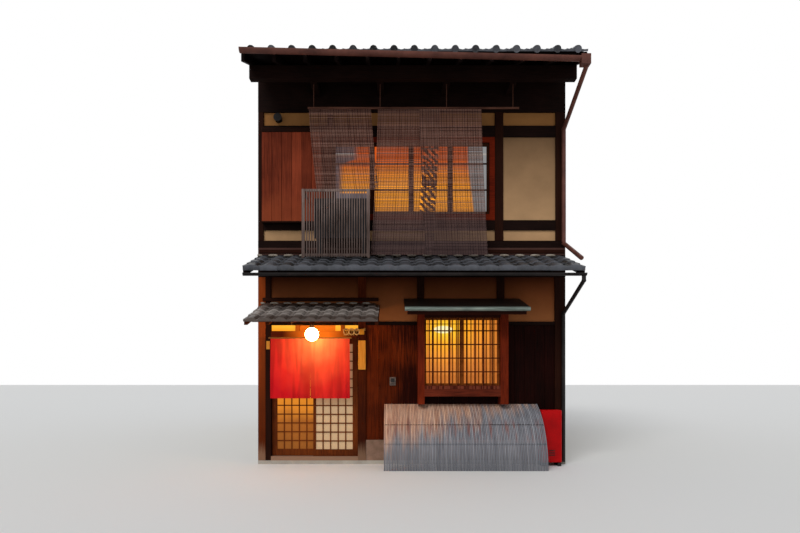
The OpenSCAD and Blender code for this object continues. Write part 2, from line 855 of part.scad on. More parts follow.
// The pane lies behind the bars, inside the leaf's frame
module leaf_pane(x0, y, meets_right) {
    stile_l = meets_right ? leaf_stile : meeting_stile;
    stile_r = meets_right ? meeting_stile : leaf_stile;
    translate([x0 + stile_l, y - leaf_t / 2 + leaf_bar_t, leaf_z0 + leaf_bottom])
        cube([leaf_w - stile_l - stile_r, pane_t, leaf_z1 - leaf_z0 - leaf_bottom - leaf_top]);
}

left_leaf_x = door_x0 + leaf_clear;
right_leaf_x = door_x1 - leaf_clear - leaf_w;

module door_left_lattice() {
    color("peru") leaf(left_leaf_x, groove2_y, true);
}

module door_left_pane() {
    color("orange") leaf_pane(left_leaf_x, groove2_y, true);
}

module door_right_lattice() {
    color("peru") leaf(right_leaf_x, groove1_y, false);
}

module door_right_pane() {
    color("ivory") leaf_pane(right_leaf_x, groove1_y, false);
}

module entrance_roof_tiles() {
    color("slategray") tile_slope(canopy_x0, canopy_x1, front - canopy_run, front,
        canopy_z + canopy_rafter_h + canopy_deck_t, canopy_slope, canopy_waves, lower_wave_steps,
        canopy_tile_t, canopy_tile_rise);
}

module entrance_roof_frame() {
    purlin_top = canopy_z - canopy_slope * (lamp_run - lamp_purlin_h / 2);
    color("sienna") {
        slope_frame(canopy_x0, canopy_x1, front - canopy_run + canopy_eave, front, canopy_z,
            canopy_slope, canopy_rafter_h, canopy_deck_t, canopy_rafters);
        block(canopy_x0, canopy_x1, front - lamp_run - lamp_purlin_h / 2,
            front - lamp_run + lamp_purlin_h / 2, purlin_top - lamp_purlin_h, purlin_top);
    }
}

noren_x0 = door_x0 + noren_left;
noren_w = doorway_w - noren_left - noren_right;
noren_x1 = noren_x0 + noren_w;
// How far the rod runs past the noren, and its hooks
rod_end = 30;
hook_out = 12;
noren_y = front - noren_run;

// The rod lies in two hooks that are driven into the lintel
module noren_rod() {
    color("tan") {
        translate([noren_x0 - rod_end, noren_y, noren_rod_z]) rotate([0, 90, 0])
            cylinder(h = noren_w + 2 * rod_end, d = noren_rod_d);
        for (x = [noren_x0 - hook_out, noren_x1 + hook_out])
            translate([x, front, noren_rod_z + noren_rod_d / 2]) rotate([90, 0, 0])
                cylinder(h = noren_run, d = hook_d);
    }
}

module noren() {
    panel_w = (noren_w - noren_slit) / 2;
    top = noren_rod_z - noren_rod_d / 2 - track_gap;
    color("crimson") for (x = [noren_x0, noren_x0 + panel_w + noren_slit])
        block(x, x + panel_w, noren_y - noren_t / 2, noren_y + noren_t / 2, top - noren_drop, top);
}

lamp_centre_x = door_x0 + lamp_x;

module entrance_lamp() {
    purlin_low = canopy_z - canopy_slope * (lamp_run - lamp_purlin_h / 2) - lamp_purlin_h;
    color("white") translate([lamp_centre_x, front - lamp_run, lamp_z]) {
        sphere(d = lamp_d);
        cylinder(h = purlin_low - lamp_z, d = lamp_neck_d);
    }
}

name_x0 = door_x1 + (door_post_w - name_w) / 2;

module name_board() {
    color("goldenrod") block(name_x0, name_x0 + name_w, front - name_t, front, name_z, name_z + name_h);
}

// Height of the straw charm over the lintel, and its distance from the post's side
charm_up = 20;
charm_in = 10;

// A twisted straw rope over the door with three tassels
module door_charm() {
    z = lintel_top + charm_up;
    y = front - charm_d / 2;
    x1 = post2_x1 - charm_in;
    color("khaki") {
        translate([x1 - charm_w, y, z]) rotate([0, 90, 0])
            cylinder(h = charm_w, d1 = charm_d * 0.5, d2 = charm_d);
        for (i = [0 : 2])
            translate([x1 - charm_w * (0.25 + 0.25 * i), y, z - 2 * charm_d])
                cylinder(h = 2 * charm_d, d1 = charm_d * 0.6, d2 = charm_d * 0.25);
    }
}

module intercom() {
    color("silver") block(post2_x1 + intercom_x, post2_x1 + intercom_x + intercom_w,
        front + board_back - intercom_d, front + board_back, intercom_z, intercom_z + intercom_h);
}

module bay_window_posts() {
    color("brown") {
        block(bay_x0, bay_x1, bay_front, front, bay_foot_z, bay_head_top);
        block(bay_x2, bay_x3, bay_front, front, bay_foot_z, bay_head_top);
    }
}

// Heights of the bay canopy's underside ahead of the wall
function bay_under(run) = bay_canopy_z - bay_canopy_slope * run;

// A batten under the boards, from one distance ahead of the wall to another
module bay_batten(x0, x1, far, near) {
    run_x(x0, x1, [[front - far, bay_under(far) - bay_arm_h], [front - near, bay_under(near) - bay_arm_h],
        [front - near, bay_under(near) + bay_canopy_t / 2], [front - far, bay_under(far) + bay_canopy_t / 2]]);
}

module bay_window_rails() {
    x0 = bay_x0 - bay_canopy_side;
    x1 = bay_x3 + bay_canopy_side;
    tip = front - bay_canopy_run;
    bar_run = bay_canopy_run - bay_bar_back;
    color("brown") {
        block(bay_x1, bay_x2, bay_front, front, bay_sill_z, bay_sill_top);
        block(bay_x1, bay_x2, bay_front, front, bay_open_top, bay_head_top);
        run_x(bay_x0, bay_x3, [[bay_front, bay_head_top], [front, bay_head_top],
            [front, bay_under(0)], [bay_front, bay_under(bay_run)]]);
        run_x(x0, x1, [[tip, bay_under(bay_canopy_run)], [front, bay_under(0)],
            [front, bay_under(0) + bay_canopy_t], [tip, bay_under(bay_canopy_run) + bay_canopy_t]]);
        bay_batten(x0 + bay_arm_in, x1 - bay_arm_in, bar_run, bar_run - bay_arm_w);
        for (x = [x0 + bay_arm_in, x1 - bay_arm_in - bay_arm_w])
            bay_batten(x, x + bay_arm_w, bar_run, 0);
    }
}

bay_open_w = bay_x2 - bay_x1;
// Setback of the lattice and of the sashes behind the bay's front
lattice_in = 20;
sash_in = 90;

module bay_window_lattice() {
    pitch = (bay_open_w + bay_bar) / (bay_bars + 1);
    low = bay_sill_top + bay_rail_pitch - bay_bar / 2;
    color("brown") translate([0, bay_front + lattice_in, 0]) {
        for (i = [1 : bay_bars])
            block(bay_x1 + i * pitch - bay_bar, bay_x1 + i * pitch, 0, bay_bar_t,
                bay_sill_top, bay_open_top);
        for (z = [low : bay_rail_pitch : bay_open_top - 1.5 * bay_bar])
            block(bay_x1, bay_x2, 0, bay_bar_t, z, z + bay_bar);
        block(bay_x1, bay_x2, 0, bay_bar_t, bay_open_top - bay_rail_pitch / 2,
            bay_open_top - bay_rail_pitch / 2 + bay_bar / 2);
    }
}

sash_y = bay_front + sash_in;
sash_w = bay_open_w / 2;

// Two fixed sashes behind the lattice, each with upright bars
module bay_window_sashes() {
    clear = sash_w - 2 * sash_stile;
    pitch = (clear + sash_bar) / (sash_bars + 1);
    color("brown") for (x = [bay_x1, bay_x1 + sash_w]) translate([x, sash_y, bay_sill_top]) {
        difference() {
            cube([sash_w, sash_t, bay_open_h]);
            translate([sash_stile, -1, sash_stile])
                cube([clear, sash_t + 2, bay_open_h - 2 * sash_stile]);
        }
        for (i = [1 : sash_bars])
            translate([sash_stile + i * pitch - sash_bar, 0, sash_stile - 1])
                cube([sash_bar, sash_t / 2, bay_open_h - 2 * sash_stile + 2]);
    }
}

module bay_window_pane() {
    color("gold") block(bay_x1, bay_x2, sash_y + sash_t, sash_y + sash_t + pane_t,
        bay_sill_top, bay_open_top);
}

// Sheet metal on the boards, with a rolled front edge
module bay_window_canopy() {
    x0 = bay_x0 - bay_canopy_side;
    x1 = bay_x3 + bay_canopy_side;
    tip = front - bay_canopy_run;
    low = bay_under(bay_canopy_run) + bay_canopy_t;
    high = bay_under(0) + bay_canopy_t;
    color("darkslategray") {
        run_x(x0, x1, [[tip - roll_d / 2, low - bay_canopy_slope * roll_d / 2], [tip, low],
            [front, high], [front, high + sheet_t],
            [tip - roll_d / 2, low - bay_canopy_slope * roll_d / 2 + sheet_t]]);
        translate([x0, tip - roll_d / 2, low - roll_d / 2 + sheet_t / 2]) rotate([0, 90, 0])
            cylinder(h = x1 - x0, d = roll_d);
    }
}

// The fence's arc passes through the wall at its top and the ground at its foot
fence_chord = norm([fence_run, fence_top]);
fence_tilt = atan2(fence_top, fence_run);
fence_sag = sqrt(fence_r * fence_r - fence_chord * fence_chord / 4);
fence_c = [front - fence_run / 2 + fence_sag * sin(fence_tilt),
    fence_top / 2 - fence_sag * cos(fence_tilt)];
// Heights of the rails as parts of the fence's height
fence_rails = [0.4, 0.68];

module fence_band(x0, x1, r, t) {
    translate([x0, fence_c[0], fence_c[1]]) rotate([90, 0, 90]) linear_extrude(x1 - x0)
        intersection() {
            difference() {
                circle(r, $fn = 360);
                circle(r - t, $fn = 360);
            }
            translate([front - fence_run - fence_c[0], -fence_c[1]]) square([fence_run, fence_top]);
        }
}

// Strips side by side, parted by grooves, nailed to two rails behind them
module bamboo_fence() {
    strips = round((fence_x1 - fence_x0) / bamboo_pitch);
    pitch = (fence_x1 - fence_x0) / strips;
    color("lightslategray") {
        difference() {
            fence_band(fence_x0, fence_x1, fence_r, bamboo_t);
            for (i = [1 : strips - 1])
                fence_band(fence_x0 + i * pitch - bamboo_gap / 2, fence_x0 + i * pitch + bamboo_gap / 2,
                    fence_r + 1, bamboo_groove + 1);
        }
        for (part = fence_rails) {
            z = fence_top * part;
            translate([0, fence_c[0] - sqrt(pow(fence_r - bamboo_t, 2) - pow(z - fence_c[1], 2)), z])
                block(fence_x0, fence_x1, -bamboo_t / 2, fence_rail, -fence_rail / 2, fence_rail / 2);
        }
    }
}

// Gap between the fence and the box, rim and sink of its door, place and width of its feet
ext_gap = 8;
ext_rim = 20;
ext_sink = 6;
ext_foot_in = 10;
ext_foot_w = 50;
ext_x0 = fence_x1 + ext_gap;

module extinguisher_box() {
    color("red") {
        difference() {
            block(ext_x0, ext_x0 + ext_w, front - ext_d, front, ext_foot, ext_foot + ext_h);
            block(ext_x0 + ext_rim, ext_x0 + ext_w - ext_rim, front - ext_d - 1,
                front - ext_d + ext_sink, ext_foot + ext_rim, ext_foot + ext_h - ext_rim);
        }
        for (x = [ext_x0 + ext_foot_in, ext_x0 + ext_w - ext_foot_in - ext_foot_w])
            block(x, x + ext_foot_w, front - ext_d + ext_foot_in, front - ext_foot_in, 0, ext_foot);
    }
}

// Setback of the boards and rafters from the tiles' eaves
eave_back = 30;
lower_deck_top = lower_rafter_h + lower_deck_t;
lower_tile_t = 24;
lower_tile_rise = 40;

module lower_roof_tiles() {
    color("slategray") tile_slope(left, right, front - lower_run, front,
        lower_z + lower_deck_top, lower_slope, lower_waves, lower_wave_steps,
        lower_tile_t, lower_tile_rise);
}

module lower_roof_frame() {
    color("saddlebrown") slope_frame(left, right, front - lower_run + eave_back, front, lower_z,
        lower_slope, lower_rafter_h, lower_deck_t, house_rafters);
}

// Thickness of a gutter's straps, and how far they lie below its rim
strap_t = 6;
strap_drop = 12;
// Distance of the gutters' ends from the party lines
gutter_end = 5;
lower_gutter_start = 20;

// Straps that tie a trough to the rafters' ends
module straps(y0, y1, x0, x1, z0, z1, rafters) {
    pitch = (house_w - rafter_w) / (rafters - 1);
    for (i = [1 : 2 : rafters - 2]) {
        x = left + i * pitch + rafter_w / 4;
        translate([x, y0, z0 + (z1 - z0) * (x - x0) / (x1 - x0) - strap_drop])
            cube([rafter_w / 2, y1 - y0, strap_t]);
    }
}

lower_gutter_z = lower_z + lower_deck_top - lower_slope * lower_run - lower_gutter_drop;

module lower_gutter() {
    y = front - lower_gutter_run;
    x0 = left + lower_gutter_start;
    x1 = right - gutter_end;
    color("dimgray") {
        trough(x0, x1, y, lower_gutter_z, lower_gutter_z, lower_gutter_d);
        straps(y + lower_gutter_d / 2 - gutter_t, front - lower_run + eave_back, x0, x1,
            lower_gutter_z, lower_gutter_z, house_rafters);
    }
}

// How much an elbow is thicker than its pipe
collar = 6;
// Distance of the lower downpipe's side from the party line
lower_pipe_side = 12;
lower_pipe_x = right - lower_pipe_side - lower_pipe_d / 2;

module lower_downpipe() {
    y = front - lower_gutter_run;
    top = lower_gutter_z - lower_gutter_d / 2;
    a = [lower_pipe_x, y, top];
    back = front - lower_pipe_d / 2 - collar / 2;
    b = [lower_pipe_x, y, top - lower_pipe_neck];
    c = [lower_pipe_x, back, top - lower_pipe_neck - lower_pipe_fall];
    d = [lower_pipe_x, back, lower_pipe_gap];
    color("dimgray") {
        bar(b, a, lower_pipe_d);
        translate(b) sphere(d = lower_pipe_d + collar);
        bar(c, b, lower_pipe_d);
        translate(c) sphere(d = lower_pipe_d + collar);
        bar(d, c, lower_pipe_d);
    }
}

// Top of the lower roof's tiles in their pans, ahead of the wall
function lower_tile(run) = lower_z + lower_deck_top - lower_slope * run
    + (lower_tile_t + lower_tile_rise) / cos(atan(lower_slope)) + tile_seat;

// Gap between the slats' lower ends and the cover's feet
slat_up = 10;

module condenser_cover() {
    x1 = cover_x + cover_w;
    y = front - cover_run;
    low = lower_tile(cover_run - cover_post);
    pitch = (cover_w - 2 * cover_post - slat_w) / (cover_slats - 1);
    color("silver") {
        for (x = [cover_x, x1 - cover_post]) {
            block(x, x + cover_post, y, y + cover_post, low, cover_top);
            block(x, x + cover_post, y + cover_post - 1, front - case_d, cover_top - cover_post, cover_top);
            block(x, x + cover_post, y + cover_post - 1, front,
                low + cover_rail, low + cover_rail + cover_post);
        }
        for (z = [low + cover_post, cover_top - cover_post])
            block(cover_x, x1, y + slat_t, y + cover_post, z, z + cover_post);
        for (i = [0 : cover_slats - 1])
            translate([cover_x + cover_post + i * pitch, y, low + slat_up])
                cube([slat_w, slat_t + 1, cover_top - low - slat_up]);
    }
}

unit_x = cover_x + cover_w - cover_post - unit_gap - unit_w;
fan_depth = 60;
blades = 3;

// A housing with a fan in a round opening, on four feet that stand on the tiles
module condenser_unit() {
    y1 = front - unit_run;
    y0 = y1 - unit_d;
    color("whitesmoke") {
        difference() {
            block(unit_x, unit_x + unit_w, y0, y1, unit_z, unit_z + unit_h);
            translate([unit_x + fan_d / 2 + fan_side, y0 - 1, unit_z + unit_h / 2]) rotate([-90, 0, 0])
                cylinder(h = fan_depth + 1, d = fan_d);
        }
        translate([unit_x + fan_d / 2 + fan_side, y0, unit_z + unit_h / 2]) rotate([-90, 0, 0]) {
            translate([0, 0, fan_depth / 4]) cylinder(h = fan_depth, d = fan_d * 0.25);
            for (i = [0 : blades - 1])
                rotate([0, 0, i * 360 / blades]) translate([0, -fan_d / 8, fan_depth / 2])
                    rotate([20, 0, 0]) cube([fan_d * 0.46, fan_d / 4, slat_t / 2]);
        }
        for (x = [unit_x + unit_foot, unit_x + unit_w - 2 * unit_foot]) {
            block(x, x + unit_foot, y0, y0 + unit_foot,
                lower_tile(unit_run + unit_d - unit_foot), unit_z + 1);
            block(x, x + unit_foot, y1 - unit_foot, y1, lower_tile(unit_run), unit_z + 1);
        }
    }
}

// The case reaches from under the sill beam to the head beam
case_h = head_z + case_lap - case_z;
case_edge = 60;

module shutter_case() {
    board = case_w / case_boards;
    color("brown") difference() {
        block(case_x0, window_x0, front - case_d, front, case_z, case_z + case_h);
        for (i = [1 : case_boards - 1])
            block(case_x0 + i * board - case_groove / 2, case_x0 + i * board + case_groove / 2,
                front - case_d - 1, front - case_d + case_groove,
                case_z + case_edge, case_z + case_h - case_edge);
    }
}

// The window's frame: a board under and over the sashes, and the right jamb
frame_back = 10;

module upper_window_frame() {
    color("sienna") {
        block(window_x0, window_x1, front + frame_back, inside, sill_beam_top, glass_z - upper_rail);
        block(window_x0, window_x1, front + frame_back, inside, glass_top + upper_rail, head_z);
        block(window_x1, mid_post_x0, front + frame_back, inside, sill_beam_top, head_z);
    }
}

module upper_window_sashes() {
    w = window_w / sashes;
    color("sienna") for (i = [0 : sashes - 1])
        translate([window_x0 + i * w, front + sash_back, glass_z - upper_rail]) {
            difference() {
                cube([w, upper_sash_t, glass_h + 2 * upper_rail]);
                translate([upper_stile, -1, upper_rail])
                    cube([w - 2 * upper_stile, upper_sash_t + 2, glass_h]);
            }
            for (s = [bar_low, bar_high])
                translate([upper_stile - 1, 0, upper_rail + s * glass_h - glazing_bar / 2])
                    cube([w - 2 * upper_stile + 2, upper_sash_t * 0.7, glazing_bar]);
        }
}

module upper_window_glass() {
    color("lightblue") block(window_x0, window_x1, front + sash_back + upper_sash_t,
        front + sash_back + upper_sash_t + pane_t, glass_z - upper_rail / 2, glass_top + upper_rail / 2);
}

module screen_rail() {
    y = front - screen_run;
    last = arm_x + (purlin_arms - 1) * arm_pitch;
    color("tan") {
        translate([arm_x - screen_rail_end, y, screen_z]) rotate([0, 90, 0])
            cylinder(h = last - arm_x + 2 * screen_rail_end, d = screen_rail_d);
        for (i = [0 : purlin_arms - 1])
            translate([arm_x + i * arm_pitch, y, screen_z]) cylinder(h = purlin_z - screen_z, d = hook_d);
    }
}

// A screen hangs flat, with its lower edge blown to the side
module screen(x0, y, low, side) {
    top = screen_z - screen_rail_d / 2 - track_gap;
    translate([x0, y + screen_t / 2, 0]) rotate([90, 0, 0]) linear_extrude(screen_t)
        polygon([[0, top], [screen_w, top], [screen_w + side, low], [side, low]]);
}

// How far each screen hangs off the rail's axis, as a part of its thickness
screen_off = 0.8;

module reed_screens() {
    y = front - screen_run;
    color("rosybrown") {
        screen(screen_left_x, y - screen_t * screen_off, cover_top + screen_over, screen_left_blow);
        screen(cover_x + cover_w + screen_mid_gap, y + screen_t * screen_off, screen_low_z,
            screen_gap - screen_mid_gap);
        screen(screen_right_x, y - screen_t * screen_off, screen_low_z, screen_right_blow);
    }
}

// Distance of the vent cap from the shutter case's left side, and the height of its rim
vent_in = 220;
vent_rim = 14;
vent_x = case_x0 + vent_in;

module vent_cap() {
    z = (head_top + plate_z) / 2;
    color("dimgray") translate([vent_x, front + plaster_back, z]) rotate([90, 0, 0]) {
        cylinder(h = vent_depth + plaster_back, d = vent_d * 0.9);
        translate([0, 0, vent_depth + plaster_back - vent_rim]) cylinder(h = vent_rim, d = vent_d);
    }
}

// The purlin's top follows the rafters, and the arms reach it from the wall plate
arm_h = 100;

module eave_purlin() {
    y0 = front - purlin_run - purlin_w / 2;
    y1 = y0 + purlin_w;
    color("saddlebrown") {
        run_x(left, right, [[y0, purlin_z], [y1, purlin_z], [y1, main_under(y1)], [y0, main_under(y0)]]);
        for (i = [0 : purlin_arms - 1])
            block(arm_x + i * arm_pitch - rafter_w, arm_x + i * arm_pitch + rafter_w,
                y1 - 1, front, purlin_z, purlin_z + arm_h);
    }
}

module main_roof_tiles() {
    top = main_under(0) + main_deck_top - main_slope * ridge_w / 2;
    color("slategray") for (side = [[0, front - main_run], [1, front - rear_run]])
        mirror([0, side[0], 0]) {
            tile_slope(left, right, side[1], -ridge_w / 2, top, main_slope, main_waves,
                main_wave_steps, tile_t, tile_rise);
            eave_discs(left, right, side[1], -ridge_w / 2, top, main_slope, main_waves,
                tile_t, tile_rise);
        }
}

module main_roof_frame() {
    y1 = -ridge_beam_w / 2;
    color("saddlebrown") {
        slope_frame(left, right, front - main_run + eave_back, y1, main_under(y1), main_slope,
            main_rafter_h, main_deck_t, house_rafters);
        mirror([0, 1, 0]) slope_frame(left, right, front - rear_run + eave_back, y1, main_under(y1),
            main_slope, main_rafter_h, main_deck_t, house_rafters);
    }
}

module ridge_beam() {
    half = ridge_beam_w / 2;
    top = main_under(half) + main_deck_top;
    color("saddlebrown") run_x(left, right, [[-half, main_under(0) - ridge_beam_h + main_rafter_h],
        [half, main_under(0) - ridge_beam_h + main_rafter_h], [half, top],
        [0, main_under(0) + main_deck_top], [-half, top]]);
}

// How much each course of the ridge stands back from the one below
ridge_in = 15;

// Stepped courses under a round cap, seated on the roof boards
module roof_ridge() {
    half = ridge_w / 2;
    apex = main_under(0) + main_deck_top;
    low = apex - main_slope * half;
    step = ridge_h / 3;
    color("slategray") {
        run_x(left, right, [[-half, low], [0, apex], [half, low], [half, apex + step],
            [half - ridge_in, apex + step], [half - ridge_in, apex + 2 * step],
            [half - 2 * ridge_in, apex + 2 * step], [half - 2 * ridge_in, apex + ridge_h],
            [-half + 2 * ridge_in, apex + ridge_h], [-half + 2 * ridge_in, apex + 2 * step],
            [-half + ridge_in, apex + 2 * step], [-half + ridge_in, apex + step], [-half, apex + step]]);
        translate([left, 0, apex + ridge_h]) rotate([0, 90, 0]) cylinder(h = house_w, d = ridge_cap_d);
    }
}

// The hopper, its gap to the party line, and the pipe's length inside it
hopper_w = 120;
hopper_h = 130;
hopper_end = 1;
pipe_in = 20;
// How far the hopper stands above the gutter's low end
hopper_up = 26;
gutter_low = main_under(front - main_run) + main_deck_top - upper_gutter_drop;

module upper_gutter() {
    y = front - upper_gutter_run;
    x0 = left + gutter_end;
    x1 = right - hopper_end - hopper_w;
    color("rosybrown") {
        trough(x0, x1, y, gutter_low + upper_gutter_fall, gutter_low, upper_gutter_d);
        straps(y + upper_gutter_d / 2 - gutter_t, front - main_run + eave_back, x0, x1,
            gutter_low + upper_gutter_fall, gutter_low, house_rafters);
    }
}

upper_pipe_x = right - gutter_end - upper_pipe_d / 2;

// A hopper under the gutter's end, a slanted length back to the wall and a length down it
module upper_downpipe() {
    y = front - upper_gutter_run;
    top = gutter_low + hopper_up;
    back = front - upper_pipe_d / 2 - collar / 2;
    b = [upper_pipe_x, y, top - hopper_h + pipe_in];
    c = [upper_pipe_x, back, top - hopper_h + pipe_in - upper_pipe_fall];
    d = [upper_pipe_x, back, apron_top + upper_pipe_d];
    e = [upper_pipe_x, front - lower_run + upper_pipe_foot,
        lower_tile(lower_run - upper_pipe_foot) + upper_pipe_d];
    color("rosybrown") {
        translate([right - hopper_end - hopper_w, y - upper_gutter_d / 2, top - hopper_h])
            cube([hopper_w, upper_gutter_d, hopper_h]);
        bar(c, b, upper_pipe_d);
        translate(c) rotate([0, 90, 0]) sphere(d = upper_pipe_d + collar);
        bar(d, c, upper_pipe_d);
        translate(d) rotate([0, 90, 0]) sphere(d = upper_pipe_d + collar);
        bar(e, d, upper_pipe_d);
    }
}

foundation();
front_plinth();
party_walls();
rear_wall();
rear_window_frames();
rear_window_glass();
upper_floor();
front_posts();
front_beams();
front_boards();
front_plaster();
door_frame();
transom_panes();
door_left_lattice();
door_left_pane();
door_right_lattice();
door_right_pane();
entrance_roof_tiles();
entrance_roof_frame();
noren_rod();
noren();
entrance_lamp();
name_board();
door_charm();
intercom();
bay_window_posts();
bay_window_rails();
bay_window_lattice();
bay_window_sashes();
bay_window_pane();
bay_window_canopy();
bamboo_fence();
extinguisher_box();
lower_roof_tiles();
lower_roof_frame();
lower_gutter();
lower_downpipe();
condenser_cover();
condenser_unit();
shutter_case();
upper_window_frame();
upper_window_sashes();
upper_window_glass();
screen_rail();
reed_screens();
vent_cap();
eave_purlin();
main_roof_tiles();
main_roof_frame();
ridge_beam();
roof_ridge();
upper_gutter();
upper_downpipe();
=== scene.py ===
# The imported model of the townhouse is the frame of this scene. X runs along the front,
# +Y into the house and +Z up, in metres, and every piece is made where the frame has it.
import math
import random

import bmesh
import bpy
from mathutils import Matrix, Vector


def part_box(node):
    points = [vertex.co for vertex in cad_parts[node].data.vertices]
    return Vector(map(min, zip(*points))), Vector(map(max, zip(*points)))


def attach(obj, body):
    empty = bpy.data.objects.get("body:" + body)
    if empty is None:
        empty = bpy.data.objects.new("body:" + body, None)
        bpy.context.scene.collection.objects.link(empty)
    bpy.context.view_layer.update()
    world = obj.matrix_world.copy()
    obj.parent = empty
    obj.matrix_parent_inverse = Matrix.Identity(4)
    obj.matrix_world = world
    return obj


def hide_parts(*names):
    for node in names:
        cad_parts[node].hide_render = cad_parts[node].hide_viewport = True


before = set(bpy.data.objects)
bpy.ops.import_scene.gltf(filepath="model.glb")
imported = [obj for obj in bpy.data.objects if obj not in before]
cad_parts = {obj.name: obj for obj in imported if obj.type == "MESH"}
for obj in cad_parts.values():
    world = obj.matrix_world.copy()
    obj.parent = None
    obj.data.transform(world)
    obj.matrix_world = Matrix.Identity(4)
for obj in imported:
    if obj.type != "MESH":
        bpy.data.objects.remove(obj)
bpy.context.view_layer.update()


# The street view
# A level camera at eye height, eight metres from the front and a little left of its middle,
# with a 24 mm lens and its picture shifted upwards so that all uprights stay upright.
def new_object(name, data):
    made = bpy.data.objects.new(name, data)
    bpy.context.scene.collection.objects.link(made)
    return made


front_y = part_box("front_posts")[0].y
view_distance, eye_height, eye_x = 8.0, 1.32, -0.292
camera_data = bpy.data.cameras.new("street_camera")
camera_data.lens = 24.32
camera_data.sensor_width = 36.0
camera_data.shift_x = 0.01
camera_data.shift_y = 0.1356
camera = new_object("street_camera", camera_data)
camera.location = (eye_x, front_y - view_distance, eye_height)
camera.rotation_euler = (math.radians(90), 0, 0)
bpy.context.scene.camera = camera
bpy.context.scene.view_settings.view_transform = "Standard"


# A pale floor and a bright, even sky
# The sky lights everything softly and shows white behind the house. One wide sun from the
# upper left gives the roofs and eaves their shape.
def srgb(code):
    parts = [int(code[i:i + 2], 16) / 255 for i in (1, 3, 5)]
    line = [c / 12.92 if c <= 0.04045 else ((c + 0.055) / 1.055) ** 2.4 for c in parts]
    return (*line, 1.0)


# A node given as a value lends its first output. Stops are for a colour ramp, in rising order.
def node(tree, kind, inputs=None, stops=(), **settings):
    made = tree.nodes.new("ShaderNode" + kind)
    for key, value in settings.items():
        setattr(made, key, value)
    for key, value in (inputs or {}).items():
        if isinstance(value, bpy.types.Node):
            value = value.outputs[0]
        if isinstance(value, bpy.types.NodeSocket):
            tree.links.new(value, made.inputs[key])
        else:
            made.inputs[key].default_value = value
    for i, (position, code) in enumerate(stops):
        ramp = made.color_ramp.elements
        stop = ramp[i] if i < 2 else ramp.new(0.999)
        stop.position = position
        stop.color = srgb(code)
    return made


def new_material(name):
    made = bpy.data.materials.new(name)
    made.use_nodes = True
    made.node_tree.nodes.clear()
    return made, made.node_tree


def mesh_from(name, bm):
    mesh = bpy.data.meshes.new(name)
    bm.to_mesh(mesh)
    bm.free()
    return mesh


sky = bpy.data.worlds.new("studio_sky")
bpy.context.scene.world = sky
sky.use_nodes = True
tree = sky.node_tree
tree.nodes.clear()
path = node(tree, "LightPath")
seen = node(tree, "Math", {0: path.outputs["Is Camera Ray"], 1: path.outputs["Is Glossy Ray"]},
            operation="MAXIMUM")
seen = node(tree, "Math", {0: seen, 1: path.outputs["Is Transmission Ray"]}, operation="MAXIMUM")
ambient = node(tree, "Background", {"Color": srgb("#f2f4f8"), "Strength": 0.56})
white = node(tree, "Background", {"Color": (1, 1, 1, 1), "Strength": 1.0})
choice = node(tree, "MixShader", {0: seen, 1: ambient, 2: white})
node(tree, "OutputWorld", {"Surface": choice})

sun_data = bpy.data.lights.new("wide_sun", "SUN")
sun_data.energy = 1.25
sun_data.angle = math.radians(25)
sun = new_object("wide_sun", sun_data)
sun.rotation_euler = (math.radians(52), 0, math.radians(-28))

floor_size = 60.0
floor_bm = bmesh.new()
bmesh.ops.create_grid(floor_bm, x_segments=1, y_segments=1, size=floor_size)
studio_floor = new_object("studio_floor", mesh_from("studio_floor", floor_bm))
floor_paint, tree = new_material("pale_studio_floor")
surface = node(tree, "BsdfPrincipled", {"Base Color": srgb("#e9e9e7"), "Roughness": 0.85})
node(tree, "OutputMaterial", {"Surface": surface})
studio_floor.data.materials.append(floor_paint)


# Foundation and plinth
# A floor slab of floated concrete, and a course of sawn granite under the boards. Both are
# mineral and dull, mottled by damp, with a fine grit.
def place_in(tree):
    return node(tree, "TexCoord").outputs["Object"]


def mineral(name, pale, dark, patch, grit, depth, rough=0.9, shine=0.15):
    made, tree = new_material(name)
    place = place_in(tree)
    broad = node(tree, "TexNoise", {
        "Vector": place, "Scale": 1 / patch, "Detail": 5.0, "Roughness": 0.6})
    fine = node(tree, "TexNoise", {"Vector": place, "Scale": 1 / grit, "Detail": 3.0})
    tone = node(tree, "ValToRGB", {"Fac": broad}, stops=[(0.32, dark), (0.68, pale)])
    speck = node(tree, "MixRGB", {"Fac": 0.12, "Color1": tone, "Color2": fine},
                 blend_type="OVERLAY")
    bump = node(tree, "Bump", {"Height": fine, "Strength": 0.5, "Distance": depth})
    surface = node(tree, "BsdfPrincipled", {
        "Base Color": speck, "Roughness": rough, "Specular IOR Level": shine, "Normal": bump})
    node(tree, "OutputMaterial", {"Surface": surface})
    return made


def dress(material, *names):
    for name in names:
        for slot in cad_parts[name].material_slots:
            slot.material = material


dress(mineral("floated_concrete", "#b5aea3", "#958d82", 0.35, 0.012, 0.002), "foundation")
dress(mineral("sawn_granite", "#967766", "#775e4d", 0.12, 0.006, 0.002), "front_plinth")


# Beams, floor and eave timbers
# Old cedar, stained almost black against the weather and darkened further as painted shade. The
# grain follows each stick, and edges and faces have worn to a dull brown where hands and rain
# reach.
def streaks(tree, stretch, detail, **more):
    drawn_out = node(tree, "Mapping", {"Vector": place_in(tree), "Scale": stretch})
    return node(tree, "TexNoise", {"Vector": drawn_out, "Scale": 1.0, "Detail": detail, **more})


def tone_of(tree):
    return node(tree, "Attribute", attribute_name="tone").outputs["Fac"]


